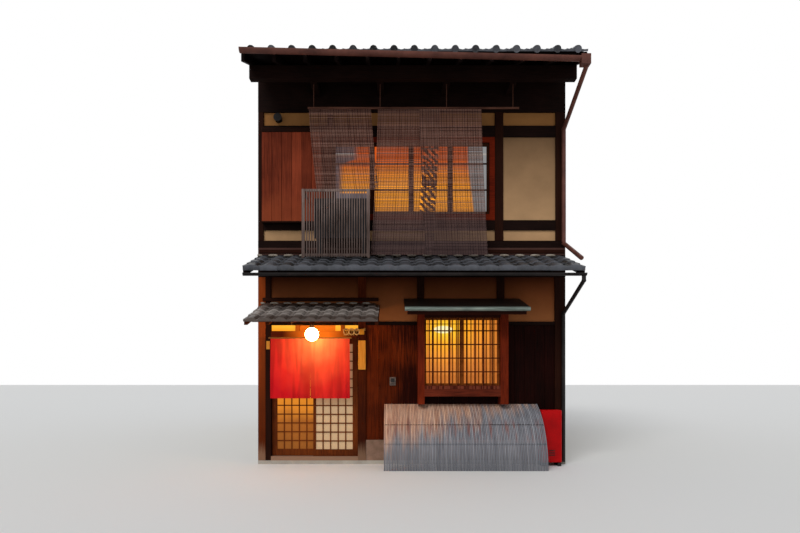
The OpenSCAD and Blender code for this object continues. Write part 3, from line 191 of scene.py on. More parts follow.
def timber(name, pale, dark, along, fibre=0.010, rough=0.68, toned=False, relief=0.0015,
           spread=0.165, share=0.4):
    made, tree = new_material(name)
    fibre_length = fibre * 26
    stretch = [1 / fibre] * 3
    stretch["XYZ".index(along)] = 1 / fibre_length
    grain = streaks(tree, stretch, 5.0, Roughness=0.62, Distortion=0.6)
    patch = node(tree, "TexNoise", {"Vector": place_in(tree), "Scale": 2.4, "Detail": 4.0})
    blend = node(tree, "MixRGB", {"Fac": 0.38, "Color1": grain, "Color2": patch})
    if toned:
        blend = node(tree, "MixRGB", {"Fac": share, "Color1": blend, "Color2": tone_of(tree)})
    colour = node(tree, "ValToRGB", {"Fac": blend},
                  stops=[(0.5 - spread, dark), (0.5 + spread, pale)])
    bump = node(tree, "Bump", {"Height": grain, "Strength": 0.6, "Distance": relief})
    surface = node(tree, "BsdfPrincipled", {
        "Base Color": colour, "Roughness": rough, "Specular IOR Level": 0.03, "Normal": bump})
    node(tree, "OutputMaterial", {"Surface": surface})
    return made


# Painted shade: the level timbers and the rafters are darkened to near black.
shaded_dark_level_cedar = timber("dark_stained_cedar_level_painted_shade", "#22130f", "#0b0605", "X")
dress(shaded_dark_level_cedar, "front_beams", "eave_purlin", "ridge_beam")
dress(timber("dark_stained_cedar_rafters_painted_shade", "#1b110f", "#090505", "Y"),
      "lower_roof_frame", "main_roof_frame")
dress(timber("planed_floor_boards", "#a07a52", "#7b5836", "Y", rough=0.5), "upper_floor")


# Plaster panels and party walls
# Clay plaster between the posts, trowelled smooth: cream in the upper storey and ochre below it.
# Painted shade darkens both to a deep ochre towards their eaves. A grey lime plaster lies towards
# the neighbours and the yard.
def height_of(tree):
    return node(tree, "SeparateXYZ", {"Vector": place_in(tree)}).outputs["Z"]


def overlay(material, share, colour, **settings):
    tree = material.node_tree
    shader = next(n for n in tree.nodes if n.type == "BSDF_PRINCIPLED")
    fresh = shader.inputs["Base Color"].links[0].from_socket
    mixed = node(tree, "MixRGB", {"Fac": share, "Color1": fresh, "Color2": colour}, **settings)
    tree.links.new(mixed.outputs[0], shader.inputs["Base Color"])


clay = mineral("clay_plaster_panels", "#ffffff", "#dadada", 0.9, 0.004, 0.0008, 0.95, 0.05)
tree = clay.node_tree
clay_low, clay_high = 2.0, 5.2
# Painted shade: the colour by height darkens towards the lower roof and towards the main eave.
level = node(tree, "MapRange", {
    "Value": height_of(tree), "From Min": clay_low, "From Max": clay_high})
plaster_colour_and_painted_shade = node(tree, "ValToRGB", {"Fac": level}, stops=[
    ((z - clay_low) / (clay_high - clay_low), code) for z, code in [
        (2.12, "#ac6a3e"), (2.49, "#884c2a"), (2.75, "#4e2411"), (3.02, "#4e2411"),
        (3.05, "#b48c64"), (3.55, "#c49c72"), (4.88, "#8a6a4c"), (4.93, "#9c6c3e")]])
overlay(clay, 1.0, plaster_colour_and_painted_shade, blend_type="MULTIPLY")
dress(clay, "front_plaster")
dress(mineral("grey_lime_plaster", "#b9ae9b", "#a1947f", 1.3, 0.006, 0.001),
      "party_walls", "rear_wall")


# Boards under the plaster
# Wide cedar planks nailed upright over the frame, red-brown beside the door and black-stained
# at the right end, with narrow dark joints. Painted shade darkens the planks beside the door
# towards their foot. A weathered board lies over the lower roof.
def tint(material, code, start, end, share):
    tree = material.node_tree
    amount = node(tree, "MapRange", {
        "Value": height_of(tree), "From Min": start, "From Max": end, "To Max": share})
    overlay(material, amount, srgb(code))


def add_mesh(name, bm, material, slot, *replaced):
    bmesh.ops.recalc_face_normals(bm, faces=bm.faces)
    made = new_object(name, mesh_from(name, bm))
    made.data.materials.append(material)
    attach(made, "house")
    if replaced:
        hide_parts(*replaced)


def new_bm():
    bm = bmesh.new()
    bm.verts.layers.float.new("tone")
    return bm


def set_tone(bm, first, value):
    bm.verts.ensure_lookup_table()
    layer = bm.verts.layers.float["tone"]
    for vert in bm.verts[first:]:
        vert[layer] = value


def block(bm, low, high, ease=0.0, tone=0.5):
    first = len(bm.verts)
    size = Vector(high) - Vector(low)
    made = bmesh.ops.create_cube(bm, size=1.0, matrix=Matrix.Translation(
        (Vector(low) + Vector(high)) / 2) @ Matrix.Diagonal((*size, 1)))
    if ease:
        edges = {edge for vert in made["verts"] for edge in vert.link_edges}
        bmesh.ops.bevel(bm, geom=list(edges), offset=ease, segments=1, profile=0.5,
                        affect="EDGES", material=-1)
    set_tone(bm, first, tone)


# The two sides of each post of the ground floor, from the corner to the end of the row
corner_post, left_jamb, door_post = (-2.275, -2.165), (-2.165, -2.085), (-0.795, -0.677)
bay_left_post, bay_right_post, end_post = (0.081, 0.185), (1.262, 1.374), (2.120, 2.275)
random.seed(7)
plank_joint, plank_depth = 0.003, 0.022
plank_face, plank_top = front_y + 0.025, 2.060
plinth_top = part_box("front_plinth")[1].z
bay_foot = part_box("bay_window_rails")[0].z
planks, end_planks = new_bm(), new_bm()
for bm, before, after, top, count in [
        (planks, door_post, bay_left_post, plank_top, 4),
        (end_planks, bay_left_post, bay_right_post, bay_foot, 5),
        (end_planks, bay_right_post, end_post, plank_top, 5)]:
    width = (after[0] - before[1]) / count
    for i in range(count):
        proud = random.uniform(0.0, 0.003)
        aged = 0.55 - 0.4 * i / (count - 1) + random.uniform(-0.15, 0.15)
        left = before[1] + i * width
        block(bm, (left + plank_joint / 2, plank_face - proud, plinth_top),
              (left + width - plank_joint / 2, plank_face + plank_depth, top),
              ease=0.002, tone=aged)
plank_stain_and_shade = timber("sunburnt_cedar_planks_painted_shade", "#963a12", "#2e0c05", "Z", fibre=0.016,
                     toned=True, relief=0.003, spread=0.12, share=0.26)
# Painted shade: the planks turn darker towards their foot, away from the lamp.
tint(plank_stain_and_shade, "#1a0604", 1.75, 1.05, 0.55)
add_mesh("front_planks", planks, plank_stain_and_shade, "burnt_boards", "front_boards")
end_stain = timber("black_stained_planks", "#280b07", "#0a0302", "Z", fibre=0.013, toned=True,
                   relief=0.003, share=0.2)
add_mesh("end_planks", end_planks, end_stain, "burnt_boards")
apron = new_bm()
apron_low, apron_high, apron_depth = 3.096, 3.203, 0.06
half_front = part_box("front_posts")[1].x
apron_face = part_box("front_boards")[0].y
block(apron, (-half_front, apron_face, apron_low),
      (half_front, apron_face + apron_depth, apron_high), ease=0.003, tone=0.6)
apron_stain = timber("weathered_apron_board", "#5b3f38", "#2e1d19", "X", toned=True)
add_mesh("apron_board", apron, apron_stain, "burnt_boards")


# Posts
# Square cedar posts with eased edges. Most are stained almost black. The corner post and the
# door post beside the lamp keep a warmer brown that is partly painted lamp light, painted shade
# darkens them downward, and their feet are worn pale by rain.
post_depth = 0.12
slab_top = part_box("foundation")[1].z
storey_beam_low = 2.770
upper_foot, upper_head = 3.308, 5.212
dark_posts = new_bm()
for (x0, x1), low, high in [
        (left_jamb, slab_top, storey_beam_low), (bay_left_post, plinth_top, storey_beam_low),
        (bay_right_post, plinth_top, storey_beam_low), (end_post, slab_top, storey_beam_low),
        ((-2.275, -2.195), upper_foot, upper_head), ((-1.249, -1.169), upper_foot, upper_head),
        ((1.233, 1.356), upper_foot, upper_head), ((2.132, 2.275), upper_foot, upper_head)]:
    block(dark_posts, (x0, front_y, low), (x1, front_y + post_depth, high), ease=0.004, tone=0.45)
dark_stain = timber("dark_stained_cedar_posts", "#34190f", "#120806", "Z", toned=True)
add_mesh("dark_posts", dark_posts, dark_stain, "dark_wood", "front_posts")
warm_posts = new_bm()
for (x0, x1), tone in [(corner_post, 0.85), (door_post, 0.25)]:
    block(warm_posts, (x0, front_y, slab_top), (x1, front_y + post_depth, storey_beam_low),
          ease=0.004, tone=tone)
lamplit_post_stain = timber("worn_cedar_posts_painted_lamplight", "#8c3c14", "#300e08", "Z", fibre=0.011, toned=True,
                    relief=0.002)
# Painted shade: the posts turn darker towards their foot, away from the lamp.
tint(lamplit_post_stain, "#1c0805", 1.90, 0.80, 0.6)
tree = lamplit_post_stain.node_tree
worn_height = 0.42
grain = next(n for n in tree.nodes if n.type == "TEX_NOISE")
ragged = node(tree, "Math", {0: grain, 1: worn_height, 2: height_of(tree)},
              operation="MULTIPLY_ADD")
bare = node(tree, "MapRange", {
    "Value": ragged, "From Min": worn_height * 1.25, "From Max": worn_height * 0.85,
    "To Max": 0.7})
overlay(lamplit_post_stain, bare, srgb("#8f6f58"))
add_mesh("door_side_posts", warm_posts, lamplit_post_stain, "dark_wood")


# Door frame and transom
# A red-brown frame with a worn sill, its rails of hard wood, and panes of lit paper in the
# transom that glow yellow at both sides of a brown wooden panel. Painted lamp light turns the
# panel bright orange and warms the frame around the lamp.
def glow(name, stops, low, high, strength, base, grain=0.25):
    made, tree = new_material(name)
    mottle = 0.35
    cloud = node(tree, "TexNoise", {"Vector": place_in(tree), "Scale": 1 / grain, "Detail": 4.0})
    level = node(tree, "MapRange", {"Value": height_of(tree), "From Min": low, "From Max": high})
    shift = node(tree, "Math", {0: cloud, 1: mottle, 2: level}, operation="MULTIPLY_ADD")
    centred = node(tree, "Math", {0: shift, 1: mottle / 2}, operation="SUBTRACT")
    lit = node(tree, "ValToRGB", {"Fac": centred}, stops=stops)
    surface = node(tree, "BsdfPrincipled", {
        "Base Color": srgb(base), "Roughness": 0.8, "Specular IOR Level": 0.1,
        "Emission Color": lit, "Emission Strength": strength})
    node(tree, "OutputMaterial", {"Surface": surface})
    return made


def distance_from(tree, x, z, wide=1.0, tall=1.0):
    centred = node(tree, "Mapping", {
        "Vector": place_in(tree), "Location": (-x * wide, 0.0, -z * tall),
        "Scale": (wide, 0.0, tall)})
    return node(tree, "VectorMath", {0: centred}, operation="LENGTH").outputs["Value"]


frame_cedar = timber("red_brown_frame_cedar", "#702a12", "#2e0f07", "X")
tint(frame_cedar, "#a08068", 0.135, 0.115, 0.75)
lamp_low, lamp_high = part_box("entrance_lamp")
lamp_middle = (lamp_low + lamp_high) / 2
# Painted lamp light: the frame turns orange around the lamp.
tree = frame_cedar.node_tree
lamplit = node(tree, "MapRange", {
    "Value": distance_from(tree, lamp_middle.x, lamp_middle.z), "From Min": 0.16,
    "From Max": 0.52, "To Min": 0.8, "To Max": 0.0})
overlay(frame_cedar, lamplit, srgb("#e8842a"))
dress(frame_cedar, "door_frame")
transom = new_bm()
transom_low, transom_high = 1.971, 2.060
transom_back = front_y + 0.066
for x0, x1 in [(left_jamb[1], -1.724), (-1.136, -1.053), (-0.993, door_post[0])]:
    block(transom, (x0, front_y + 0.06, transom_low), (x1, transom_back, transom_high))
transom_glow = glow("lit_transom_paper", [(0.0, "#f0961e"), (1.0, "#ffb636")], 1.97, 2.06, 0.95,
                    "#b07a30")
add_mesh("lit_transom_panes", transom, transom_glow, "lit_paper", "transom_panes")
transom_board = new_bm()
block(transom_board, (-1.664, front_y + 0.05, transom_low), (-1.136, transom_back, transom_high),
      tone=0.7)
# Painted lamp light: the brown panel is coloured bright orange.
lamplit_transom_stain = timber("transom_board_painted_lamplight", "#e88a2c", "#b05c18", "X", toned=True)
add_mesh("transom_board", transom_board, lamplit_transom_stain, "red_wood")


# Sliding doors
# Two cedar leaves with a close lattice, oiled and darkened by hands. Paper is pasted behind
# the bars: the left leaf glows orange over a brown foot, the right one is pale cream and glows
# faintly. These glows are painted light from the room behind.
dress(timber("oiled_lattice_cedar", "#7a3a14", "#34140a", "Z", fibre=0.009, rough=0.5),
      "door_left_lattice", "door_right_lattice")
brown_to_orange = [(0.0, "#6d3c14"), (0.35, "#8a4a16"), (0.6, "#e58a26"), (1.0, "#f0982c")]
dress(glow("lit_orange_door_paper", brown_to_orange, 0.25, 1.25, 0.80, "#7a4a1e", 0.3),
      "door_left_pane")
dress(glow("pale_door_paper", [(0.0, "#b89468"), (1.0, "#c09664")], 0.25, 1.6, 0.26, "#c2a583",
           0.5), "door_right_pane")


# Pan tiles of the entrance canopy
# Smoked clay tiles, each with a roll and a pan, laid from the eave up in courses that overlap.
# Every tile was fired apart, so tone and place differ a little, and dust dulls the pans. Painted
# highlights lighten each roll and each tile's front edge, and the lapped back is darker.
roll_spots = [-0.5, -0.34, -0.2, -0.155, -0.13, -0.09, -0.045, 0.0, 0.045, 0.09, 0.13, 0.155,
              0.2, 0.34, 0.5]
course_spots = [-0.5, -0.43, 0.05, 0.5]
# Painted highlight on each tile's front course. The courses further back are darker.
course_highlight_tones = [0.52, 0.06, -0.08, -0.30]
lip_tone = 0.26
tile_thick, pan_sag, side_lap = 0.014, 0.006, 1.04


def pan_tile(pitch, course, rise, roll, apron=0.0, front_share=1.0):
    tile = bmesh.new()
    tone = tile.verts.layers.float.new("tone")
    across, along = len(roll_spots) - 1, len(course_spots) - 1
    bmesh.ops.create_grid(tile, x_segments=across, y_segments=along, size=0.5)
    for vert in tile.verts:
        t = roll_spots[round((vert.co.x + 0.5) * across)]
        row = round((vert.co.y + 0.5) * along)
        if abs(t) < roll:
            height = rise * math.sqrt(max(0.0, 1 - (t / roll) ** 2)) ** 0.8
        else:
            height = -pan_sag * math.sin(math.pi * (abs(t) - roll) / (0.5 - roll)) ** 2
        ramp = tile_thick * 0.45 * (0.5 - t)
        height *= front_share if row < 2 else 1.0
        # Painted highlight: the roll is lighter the higher it stands.
        vert[tone] = 0.15 * max(height, 0.0) / rise + course_highlight_tones[row]
        vert.co = Vector((t * pitch * side_lap, course_spots[row] * course, height + ramp))
    front_edges = [e for e in tile.edges if all(v.co.y < -0.49 * course for v in e.verts)]
    lip = bmesh.ops.extrude_edge_only(tile, edges=front_edges)
    for vert in [g for g in lip["geom"] if isinstance(g, bmesh.types.BMVert)]:
        vert.co.z = -apron if apron else vert.co.z - tile_thick
        vert[tone] = lip_tone
    bmesh.ops.recalc_face_normals(tile, faces=tile.faces)
    return mesh_from("tile_shape", tile)


def stamp(bm, shape, place, tone):
    first = len(bm.verts)
    bm.from_mesh(shape)
    bm.verts.ensure_lookup_table()
    layer = bm.verts.layers.float["tone"]
    marks = shape.attributes.get("tone")
    for i, vert in enumerate(bm.verts[first:]):
        vert[layer] = tone + (marks.data[i].value if marks else 0.0)
        vert.co = place @ vert.co


def tile_field(bm, x0, x1, y0, y1, z1, slope, waves, base, rise, roll, mirror=1, lip=0.0):
    course, lap, step, side_gap = 0.235, 0.02, 0.012, 0.008
    lean = math.atan(slope)
    courses = round((y1 - y0) / course)
    exposed = (y1 - y0) / courses / math.cos(lean)
    lapped = exposed + lap
    pitch = (x1 - x0 - 2 * side_gap) / waves
    crest = rise - tile_thick * 0.3
    plain = pan_tile(pitch, lapped, crest, roll)
    eave = pan_tile(pitch, lapped, crest, roll, base + lip, 0.55 if lip else 1.0)
    tilt = lean - math.asin(step / exposed)
    for row in range(courses):
        for column in range(waves):
            along = row * exposed + lapped / 2
            lift = base - step / 2 + 0.002 * (random.random() - 0.5) - 0.001
            x = x0 + side_gap + (column + 0.5) * pitch
            y = y0 + along * math.cos(lean) - lift * math.sin(lean)
            z = z1 - slope * (y1 - y0) + along * math.sin(lean) + lift * math.cos(lean)
            jog = Matrix.Rotation(random.uniform(-0.010, 0.010), 4, "Z")
            place = (Matrix.Diagonal((1, mirror, 1, 1)) @ Matrix.Translation((x, y, z))
                     @ Matrix.Rotation(tilt, 4, "X") @ jog)
            stamp(bm, eave if row == 0 else plain, place, 0.16 + 0.3 * random.random())


def fired_clay(name, pale, dark, dust):
    made, tree = new_material(name)
    place = place_in(tree)
    cloud = node(tree, "TexNoise", {
        "Vector": place, "Scale": 14.0, "Detail": 6.0, "Roughness": 0.65})
    blend = node(tree, "MixRGB", {"Fac": 0.6, "Color1": cloud, "Color2": tone_of(tree)})
    smoked = node(tree, "ValToRGB", {"Fac": blend}, stops=[(0.28, dark), (0.76, pale)])
    spots = node(tree, "TexNoise", {"Vector": place, "Scale": 55.0, "Detail": 4.0})
    worn = node(tree, "MapRange", {
        "Value": spots, "From Min": 0.56, "From Max": 0.72, "To Max": 0.45})
    dusty = node(tree, "MixRGB", {"Fac": worn, "Color1": smoked, "Color2": srgb(dust)})
    bump = node(tree, "Bump", {"Height": cloud, "Strength": 0.5, "Distance": 0.002})
    surface = node(tree, "BsdfPrincipled", {
        "Base Color": dusty, "Roughness": 0.45, "Specular IOR Level": 0.3, "Normal": bump})
    node(tree, "OutputMaterial", {"Surface": surface})
    return made


dusty_shaded_tile = fired_clay("dusty_clay_tiles_painted_shade", "#b2a9a2", "#776c65", "#b0a89e")
# Painted shade: dark reddish brown at the wall. The tiles also darken towards the eave.
tint(dusty_shaded_tile, "#3c2012", 2.22, 2.34, 0.82)
tint(dusty_shaded_tile, "#38281f", 2.16, 2.09, 0.84)
canopy_low, canopy_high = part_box("entrance_roof_tiles")
canopy_slope, canopy_boards_top, canopy_waves = 0.33, 2.344, 9
canopy_tiles = new_bm()
tile_field(canopy_tiles, canopy_low.x, canopy_high.x, canopy_low.y, front_y, canopy_boards_top,
           canopy_slope, canopy_waves, 0.024, 0.028, 0.30)
add_mesh("entrance_pan_tiles", canopy_tiles, dusty_shaded_tile, "roof_tile", "entrance_roof_tiles")
dress(timber("red_brown_canopy_rafters", "#5c2812", "#260d07", "Y"), "entrance_roof_frame")


# Plaster fills and flashing boards over the canopy and the lower roof
# White lime plaster is pressed into the pans where tiles meet the wall, and a stained board
# nailed over it throws the rain off.
def wall_joint(name, x0, x1, z, crest, waves):
    pitch = (x1 - x0) / waves
    fill = new_bm()
    for i in range(waves):
        first = len(fill.verts)
        bmesh.ops.create_icosphere(fill, subdivisions=2, radius=0.5, matrix=Matrix.Translation(
            (x0 + i * pitch, front_y - 0.020, z + 0.016))
            @ Matrix.Diagonal((pitch * 0.66, 0.044, crest * 0.95, 1)))
        set_tone(fill, first, random.random())
    bmesh.ops.bisect_plane(fill, geom=fill.verts[:] + fill.edges[:] + fill.faces[:],
                           plane_co=(x0, 0, 0), plane_no=(-1, 0, 0), clear_outer=True)
    add_mesh(name + "_plaster_fills", fill, lime_white, "plaster_grey")
    board = new_bm()
    block(board, (x0 + 0.02, front_y - 0.018, z + crest + 0.012),
          (x1 - 0.02, front_y, z + crest + 0.062), ease=0.003, tone=0.4)
    add_mesh(name + "_flashing_board", board, flashing_stain, "dark_wood")


lime_white = mineral("pressed_lime_plaster", "#b3a89a", "#81776b", 0.05, 0.004, 0.001)
flashing_stain = timber("flashing_board_stain", "#3c1d12", "#180a07", "X", toned=True)
wall_joint("canopy", canopy_low.x, canopy_high.x, canopy_boards_top + 0.020, 0.036, canopy_waves)


# Noren rod and noren
# A smoked bamboo rod on two hooks carries the noren, a red cotton cloth with a slit. The cloth
# hangs by its own weight, so folds start under the rod and fan out at the slit.
def evaluated_mesh(thing):
    return bpy.data.meshes.new_from_object(
        thing.evaluated_get(bpy.context.evaluated_depsgraph_get()))


dress(timber("smoked_bamboo_rod", "#a9773f", "#6a4423", "X", fibre=0.006, rough=0.4), "noren_rod")
noren_low, noren_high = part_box("noren")
noren_middle = (noren_low + noren_high) / 2
cloth_width, cloth_drop = 1.180, 0.862
cells_wide, cells_high = 72, 52
slit_top, slit_half = noren_high.z - 0.45, 0.004
on_slit = 0.002
cloth = bmesh.new()
bmesh.ops.create_grid(cloth, x_segments=cells_wide, y_segments=cells_high, size=0.5)
for vert in cloth.verts:
    across, down = vert.co.x, 0.5 - vert.co.y
    fold = 0.021 * math.sin(across * 17 + 0.9) + 0.008 * math.sin(across * 43 + 2.0)
    vert.co = Vector((noren_middle.x + across * (noren_high.x - noren_low.x),
                      noren_middle.y + fold * min(1.0, 0.15 + down * 1.6),
                      noren_high.z - down * cloth_drop))
slit_edges = [e for e in cloth.edges if all(
    abs(v.co.x - noren_middle.x) < on_slit and v.co.z < slit_top for v in e.verts)]
bmesh.ops.split_edges(cloth, edges=slit_edges)
for vert in cloth.verts:
    if (abs(vert.co.x - noren_middle.x) < on_slit and vert.is_boundary
            and vert.co.z < slit_top - 0.001):
        side = 1 if vert.link_faces[0].calc_center_median().x > noren_middle.x else -1
        vert.co.x += side * slit_half * (slit_top - vert.co.z) / (slit_top - noren_low.z)
noren = new_object("noren_cloth", mesh_from("noren_cloth", cloth))
held = noren.vertex_groups.new(name="sleeve")
held.add([v.index for v in noren.data.vertices if v.co.z > noren_high.z - 0.03], 1.0, "ADD")
sim = noren.modifiers.new("hang", "CLOTH")
sim.settings.quality = 7
sim.settings.mass = 0.18
sim.settings.tension_stiffness = 25
sim.settings.compression_stiffness = 25
sim.settings.shear_stiffness = 12
sim.settings.bending_stiffness = 0.35
sim.settings.vertex_group_mass = "sleeve"
sim.settings.shrink_min = -0.012
sim.point_cache.frame_end = 45
for frame_number in range(1, sim.point_cache.frame_end + 1):
    bpy.context.scene.frame_set(frame_number)
hung = evaluated_mesh(noren)
noren.modifiers.clear()
noren.data = hung
bpy.context.scene.frame_set(1)
for face in noren.data.polygons:
    face.use_smooth = True

# Painted light: the lamp and the room behind are painted into the cloth's colour and glow, orange
# around the lamp, and painted shade darkens it along the folds.
dyed_cotton_painted_light, tree = new_material("dyed_red_cotton_painted_light")
place = place_in(tree)
reach = distance_from(tree, lamp_middle.x, noren_high.z, 1.0, 0.85)
cloud = node(tree, "TexNoise", {"Vector": place, "Scale": 5.0, "Detail": 3.0})
soft = node(tree, "Math", {0: cloud, 1: 0.16, 2: reach}, operation="MULTIPLY_ADD")
lamplit_red = node(tree, "ValToRGB", {"Fac": soft}, stops=[
    (0.10, "#ffa468"), (0.28, "#fc7e50"), (0.46, "#f35434"), (0.68, "#dc2c22"),
    (0.92, "#bc101a")])
hanging_folds = node(tree, "Mapping", {
    "Vector": place, "Scale": (9.0, 1.0, 0.9), "Rotation": (0.0, 0.03, 0.0)})
fold_shade_noise = node(tree, "TexNoise", {
    "Vector": hanging_folds, "Scale": 1.0, "Detail": 2.0, "Distortion": 0.4})
# Painted shade along the hanging folds.
depth = node(tree, "MapRange", {
    "Value": fold_shade_noise, "From Min": 0.42, "From Max": 0.60, "To Min": 0.72})
dye_and_painted_light = node(tree, "MixRGB", {"Fac": 1.0, "Color1": lamplit_red, "Color2": depth}, blend_type="MULTIPLY")
# The threads are drawn 3 mm wide, coarser than real ones, so that the weave shows.
warp, weft = (node(tree, "TexWave", {"Vector": place, "Scale": 105.0},
                   bands_direction=way).outputs["Fac"] for way in "XZ")
weave = node(tree, "Math", {0: warp, 1: weft}, operation="MULTIPLY")
bump = node(tree, "Bump", {"Height": weave, "Strength": 0.25, "Distance": 0.0008})
surface = node(tree, "BsdfPrincipled", {
    "Base Color": dye_and_painted_light, "Roughness": 0.85, "Specular IOR Level": 0.1, "Sheen Weight": 0.06,
    "Emission Color": dye_and_painted_light, "Emission Strength": 0.29, "Normal": bump})
through = node(tree, "BsdfTranslucent", {"Color": dye_and_painted_light})
both = node(tree, "MixShader", {0: 0.18, 1: surface, 2: through})
node(tree, "OutputMaterial", {"Surface": both})
noren.data.materials.clear()
noren.data.materials.append(dyed_cotton_painted_light)
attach(noren, "house")
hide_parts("noren")


# Entrance lamp
# A globe of opal glass hangs under the canopy's purlin from a dark holder. It is lit, and its
# warm light falls on the noren, the lintel and the posts, which also carry painted lamp light.
def rod(bm, place, depth, radius, end_radius, segments, tone=0.5):
    first = len(bm.verts)
    bmesh.ops.create_cone(bm, cap_ends=True, segments=segments, radius1=radius,
                          radius2=end_radius, depth=depth, matrix=place)
    set_tone(bm, first, tone)


lamp_radius = (lamp_high.x - lamp_low.x) / 2
lamp_centre = Vector((lamp_middle.x, lamp_middle.y, lamp_low.z + lamp_radius))
opal, tree = new_material("lit_opal_glass")
surface = node(tree, "BsdfPrincipled", {
    "Base Color": srgb("#fff4dc"), "Roughness": 0.3, "Emission Color": srgb("#ffc674"),
    "Emission Strength": 52.0})
node(tree, "OutputMaterial", {"Surface": surface})
globe = new_bm()
bmesh.ops.create_uvsphere(globe, u_segments=48, v_segments=24, radius=lamp_radius,
                          matrix=Matrix.Translation(lamp_centre))
for face in globe.faces:
    face.smooth = True
add_mesh("lamp_globe", globe, opal, "lamp_glass", "entrance_lamp")
holder = new_bm()
neck = lamp_centre.z + lamp_radius * 0.93
holder_place = Matrix.Translation((lamp_centre.x, lamp_centre.y, (lamp_high.z + neck) / 2))
rod(holder, holder_place, lamp_high.z - neck, lamp_radius * 0.36, lamp_radius * 0.26, 32)
bronzed = mineral("bronzed_lamp_holder", "#4a382c", "#2a1d17", 0.05, 0.003, 0.0004, 0.45)
add_mesh("lamp_holder", holder, bronzed, "dark_gutter")


# Name board, tag, charm and intercom
# A planed pale board and a small yellow tag, both bare, hang on the door's posts; painted lamp
# light colours them orange. A twisted straw rope with paper loops hangs over the door, and a
# metal intercom is screwed to the boards.
# Painted lamp light: the pale wood is coloured orange.
pale_board = timber("planed_pale_board_painted_lamplight", "#ffb84c", "#c87826", "Z", fibre=0.008, rough=0.5)
board = new_bm()
block(board, *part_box("name_board"), ease=0.004)
add_mesh("bare_name_board", board, pale_board, "pale_board", "name_board")
tag = new_bm()
block(tag, (-2.150, front_y - 0.008, 1.700), (-2.100, front_y, 1.822), ease=0.002)
add_mesh("bare_jamb_tag", tag, pale_board, "pale_board")


def tube(name, points, radius, material, *replaced, swell=lambda part: 1.0):
    line = bpy.data.curves.new(name, "CURVE")
    line.dimensions = "3D"
    line.bevel_depth = radius
    line.bevel_resolution = 2
    line.use_fill_caps = True
    path = line.splines.new("POLY")
    path.points.add(len(points) - 1)
    for i, point in enumerate(points):
        path.points[i].co = (*point, 1)
        path.points[i].radius = swell(i / (len(points) - 1))
    curve = new_object(name, line)
    bpy.context.view_layer.update()
    mesh = evaluated_mesh(curve)
    bpy.data.objects.remove(curve)
    bm = new_bm()
    bm.from_mesh(mesh)
    for face in bm.faces:
        face.smooth = True
    add_mesh(name, bm, material, "straw", *replaced)


charm_low, charm_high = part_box("door_charm")
straw = timber("twisted_rice_straw", "#c89a5a", "#8a5c2c", "X", fibre=0.003, rough=0.9)
rope_z = charm_high.z - 0.022
rope_y = (charm_low.y + charm_high.y) / 2
rope_points, rope_turns, rope_sag, strands = 61, 6, 0.012, 3
for strand in range(strands):
    turns = []
    for i in range(rope_points):
        part = i / (rope_points - 1)
        angle = part * rope_turns * math.tau + strand * math.tau / strands
        thick = 0.004 + 0.008 * part
        turns.append((charm_low.x + part * (charm_high.x - charm_low.x),
                      rope_y + thick * math.cos(angle),
                      rope_z + thick * math.sin(angle) - rope_sag * math.sin(math.pi * part)))
    tube(f"straw_rope_strand_{strand + 1}", turns, 0.010, straw,
         *(["door_charm"] if strand == 0 else []), swell=lambda part: 0.45 + 0.55 * part)
charm_paper = mineral("folded_charm_paper", "#d8b47c", "#b08048", 0.04, 0.003, 0.0004, 0.8)
loops, loop_pitch, loop_steps = 3, 0.078, 20
for i in range(loops):
    x = charm_low.x + 0.050 + loop_pitch * i
    loop = [(x + 0.037 * math.sin(a), rope_y - 0.012 - 0.004 * (i % 2),
             rope_z - 0.032 - 0.044 * math.cos(a))
            for a in [math.tau * k / loop_steps for k in range(loop_steps + 1)]]
    tube(f"charm_paper_loop_{i + 1}", loop, 0.0085, charm_paper)
tassels, tassel_pitch = 6, 0.036
for i in range(tassels):
    x = charm_low.x + 0.02 + tassel_pitch * i
    swing = random.uniform(-0.012, 0.012)
    tassel = [(x + swing * k / 6, rope_y, rope_z - 0.010 - 0.013 * k) for k in range(7)]
    tube(f"straw_tassel_{i + 1}", tassel, 0.006, straw, swell=lambda part: 0.5 + 0.7 * part)
folded = new_bm()
block(folded, (charm_high.x - 0.090, rope_y - 0.018, rope_z - 0.075),
      (charm_high.x - 0.015, rope_y - 0.012, rope_z + 0.005), ease=0.003)
yellow_paper = mineral("yellow_charm_paper", "#e0a032", "#b87820", 0.05, 0.004, 0.0004, 0.8)
add_mesh("folded_yellow_paper", folded, yellow_paper, "straw")

low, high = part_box("intercom")
intercom = new_bm()
block(intercom, low, high, ease=0.006)
brushed = mineral("brushed_intercom_metal", "#6d5a50", "#4b3c35", 0.03, 0.002, 0.0003, 0.4, 0.4)
add_mesh("intercom_housing", intercom, brushed, "intercom_metal", "intercom")
lens = new_bm()
middle = (low + high) / 2
block(lens, (middle.x - 0.026, low.y - 0.003, middle.z - 0.012),
      (middle.x + 0.026, low.y + 0.004, middle.z + 0.044), ease=0.002)
slots, slot_pitch = 4, 0.008
for i in range(slots):
    z = low.z + 0.016 + i * slot_pitch
    block(lens, (middle.x - 0.022, low.y - 0.001, z), (middle.x + 0.022, low.y + 0.002, z + 0.003))
dark_window = mineral("dark_intercom_window", "#1b1614", "#0d0a0a", 0.02, 0.002, 0.0001, 0.2,
                      0.3)
add_mesh("intercom_window", lens, dark_window, "intercom_metal")


# Bay window
# Red-brown cedar posts and rails carry a close lattice in front of two sashes with thinner
# bars. Lit paper closes them: a lamp behind it glows white at the upper left. The sashes' golden
# brown is painted backlight, and painted shade of the canopy darkens the top of the rails.
dress(timber("red_brown_bay_cedar", "#7c2a12", "#340e07", "Z"), "bay_window_posts")
dress(timber("dark_lattice_cedar", "#5c2610", "#2c1006", "Z"), "bay_window_lattice")
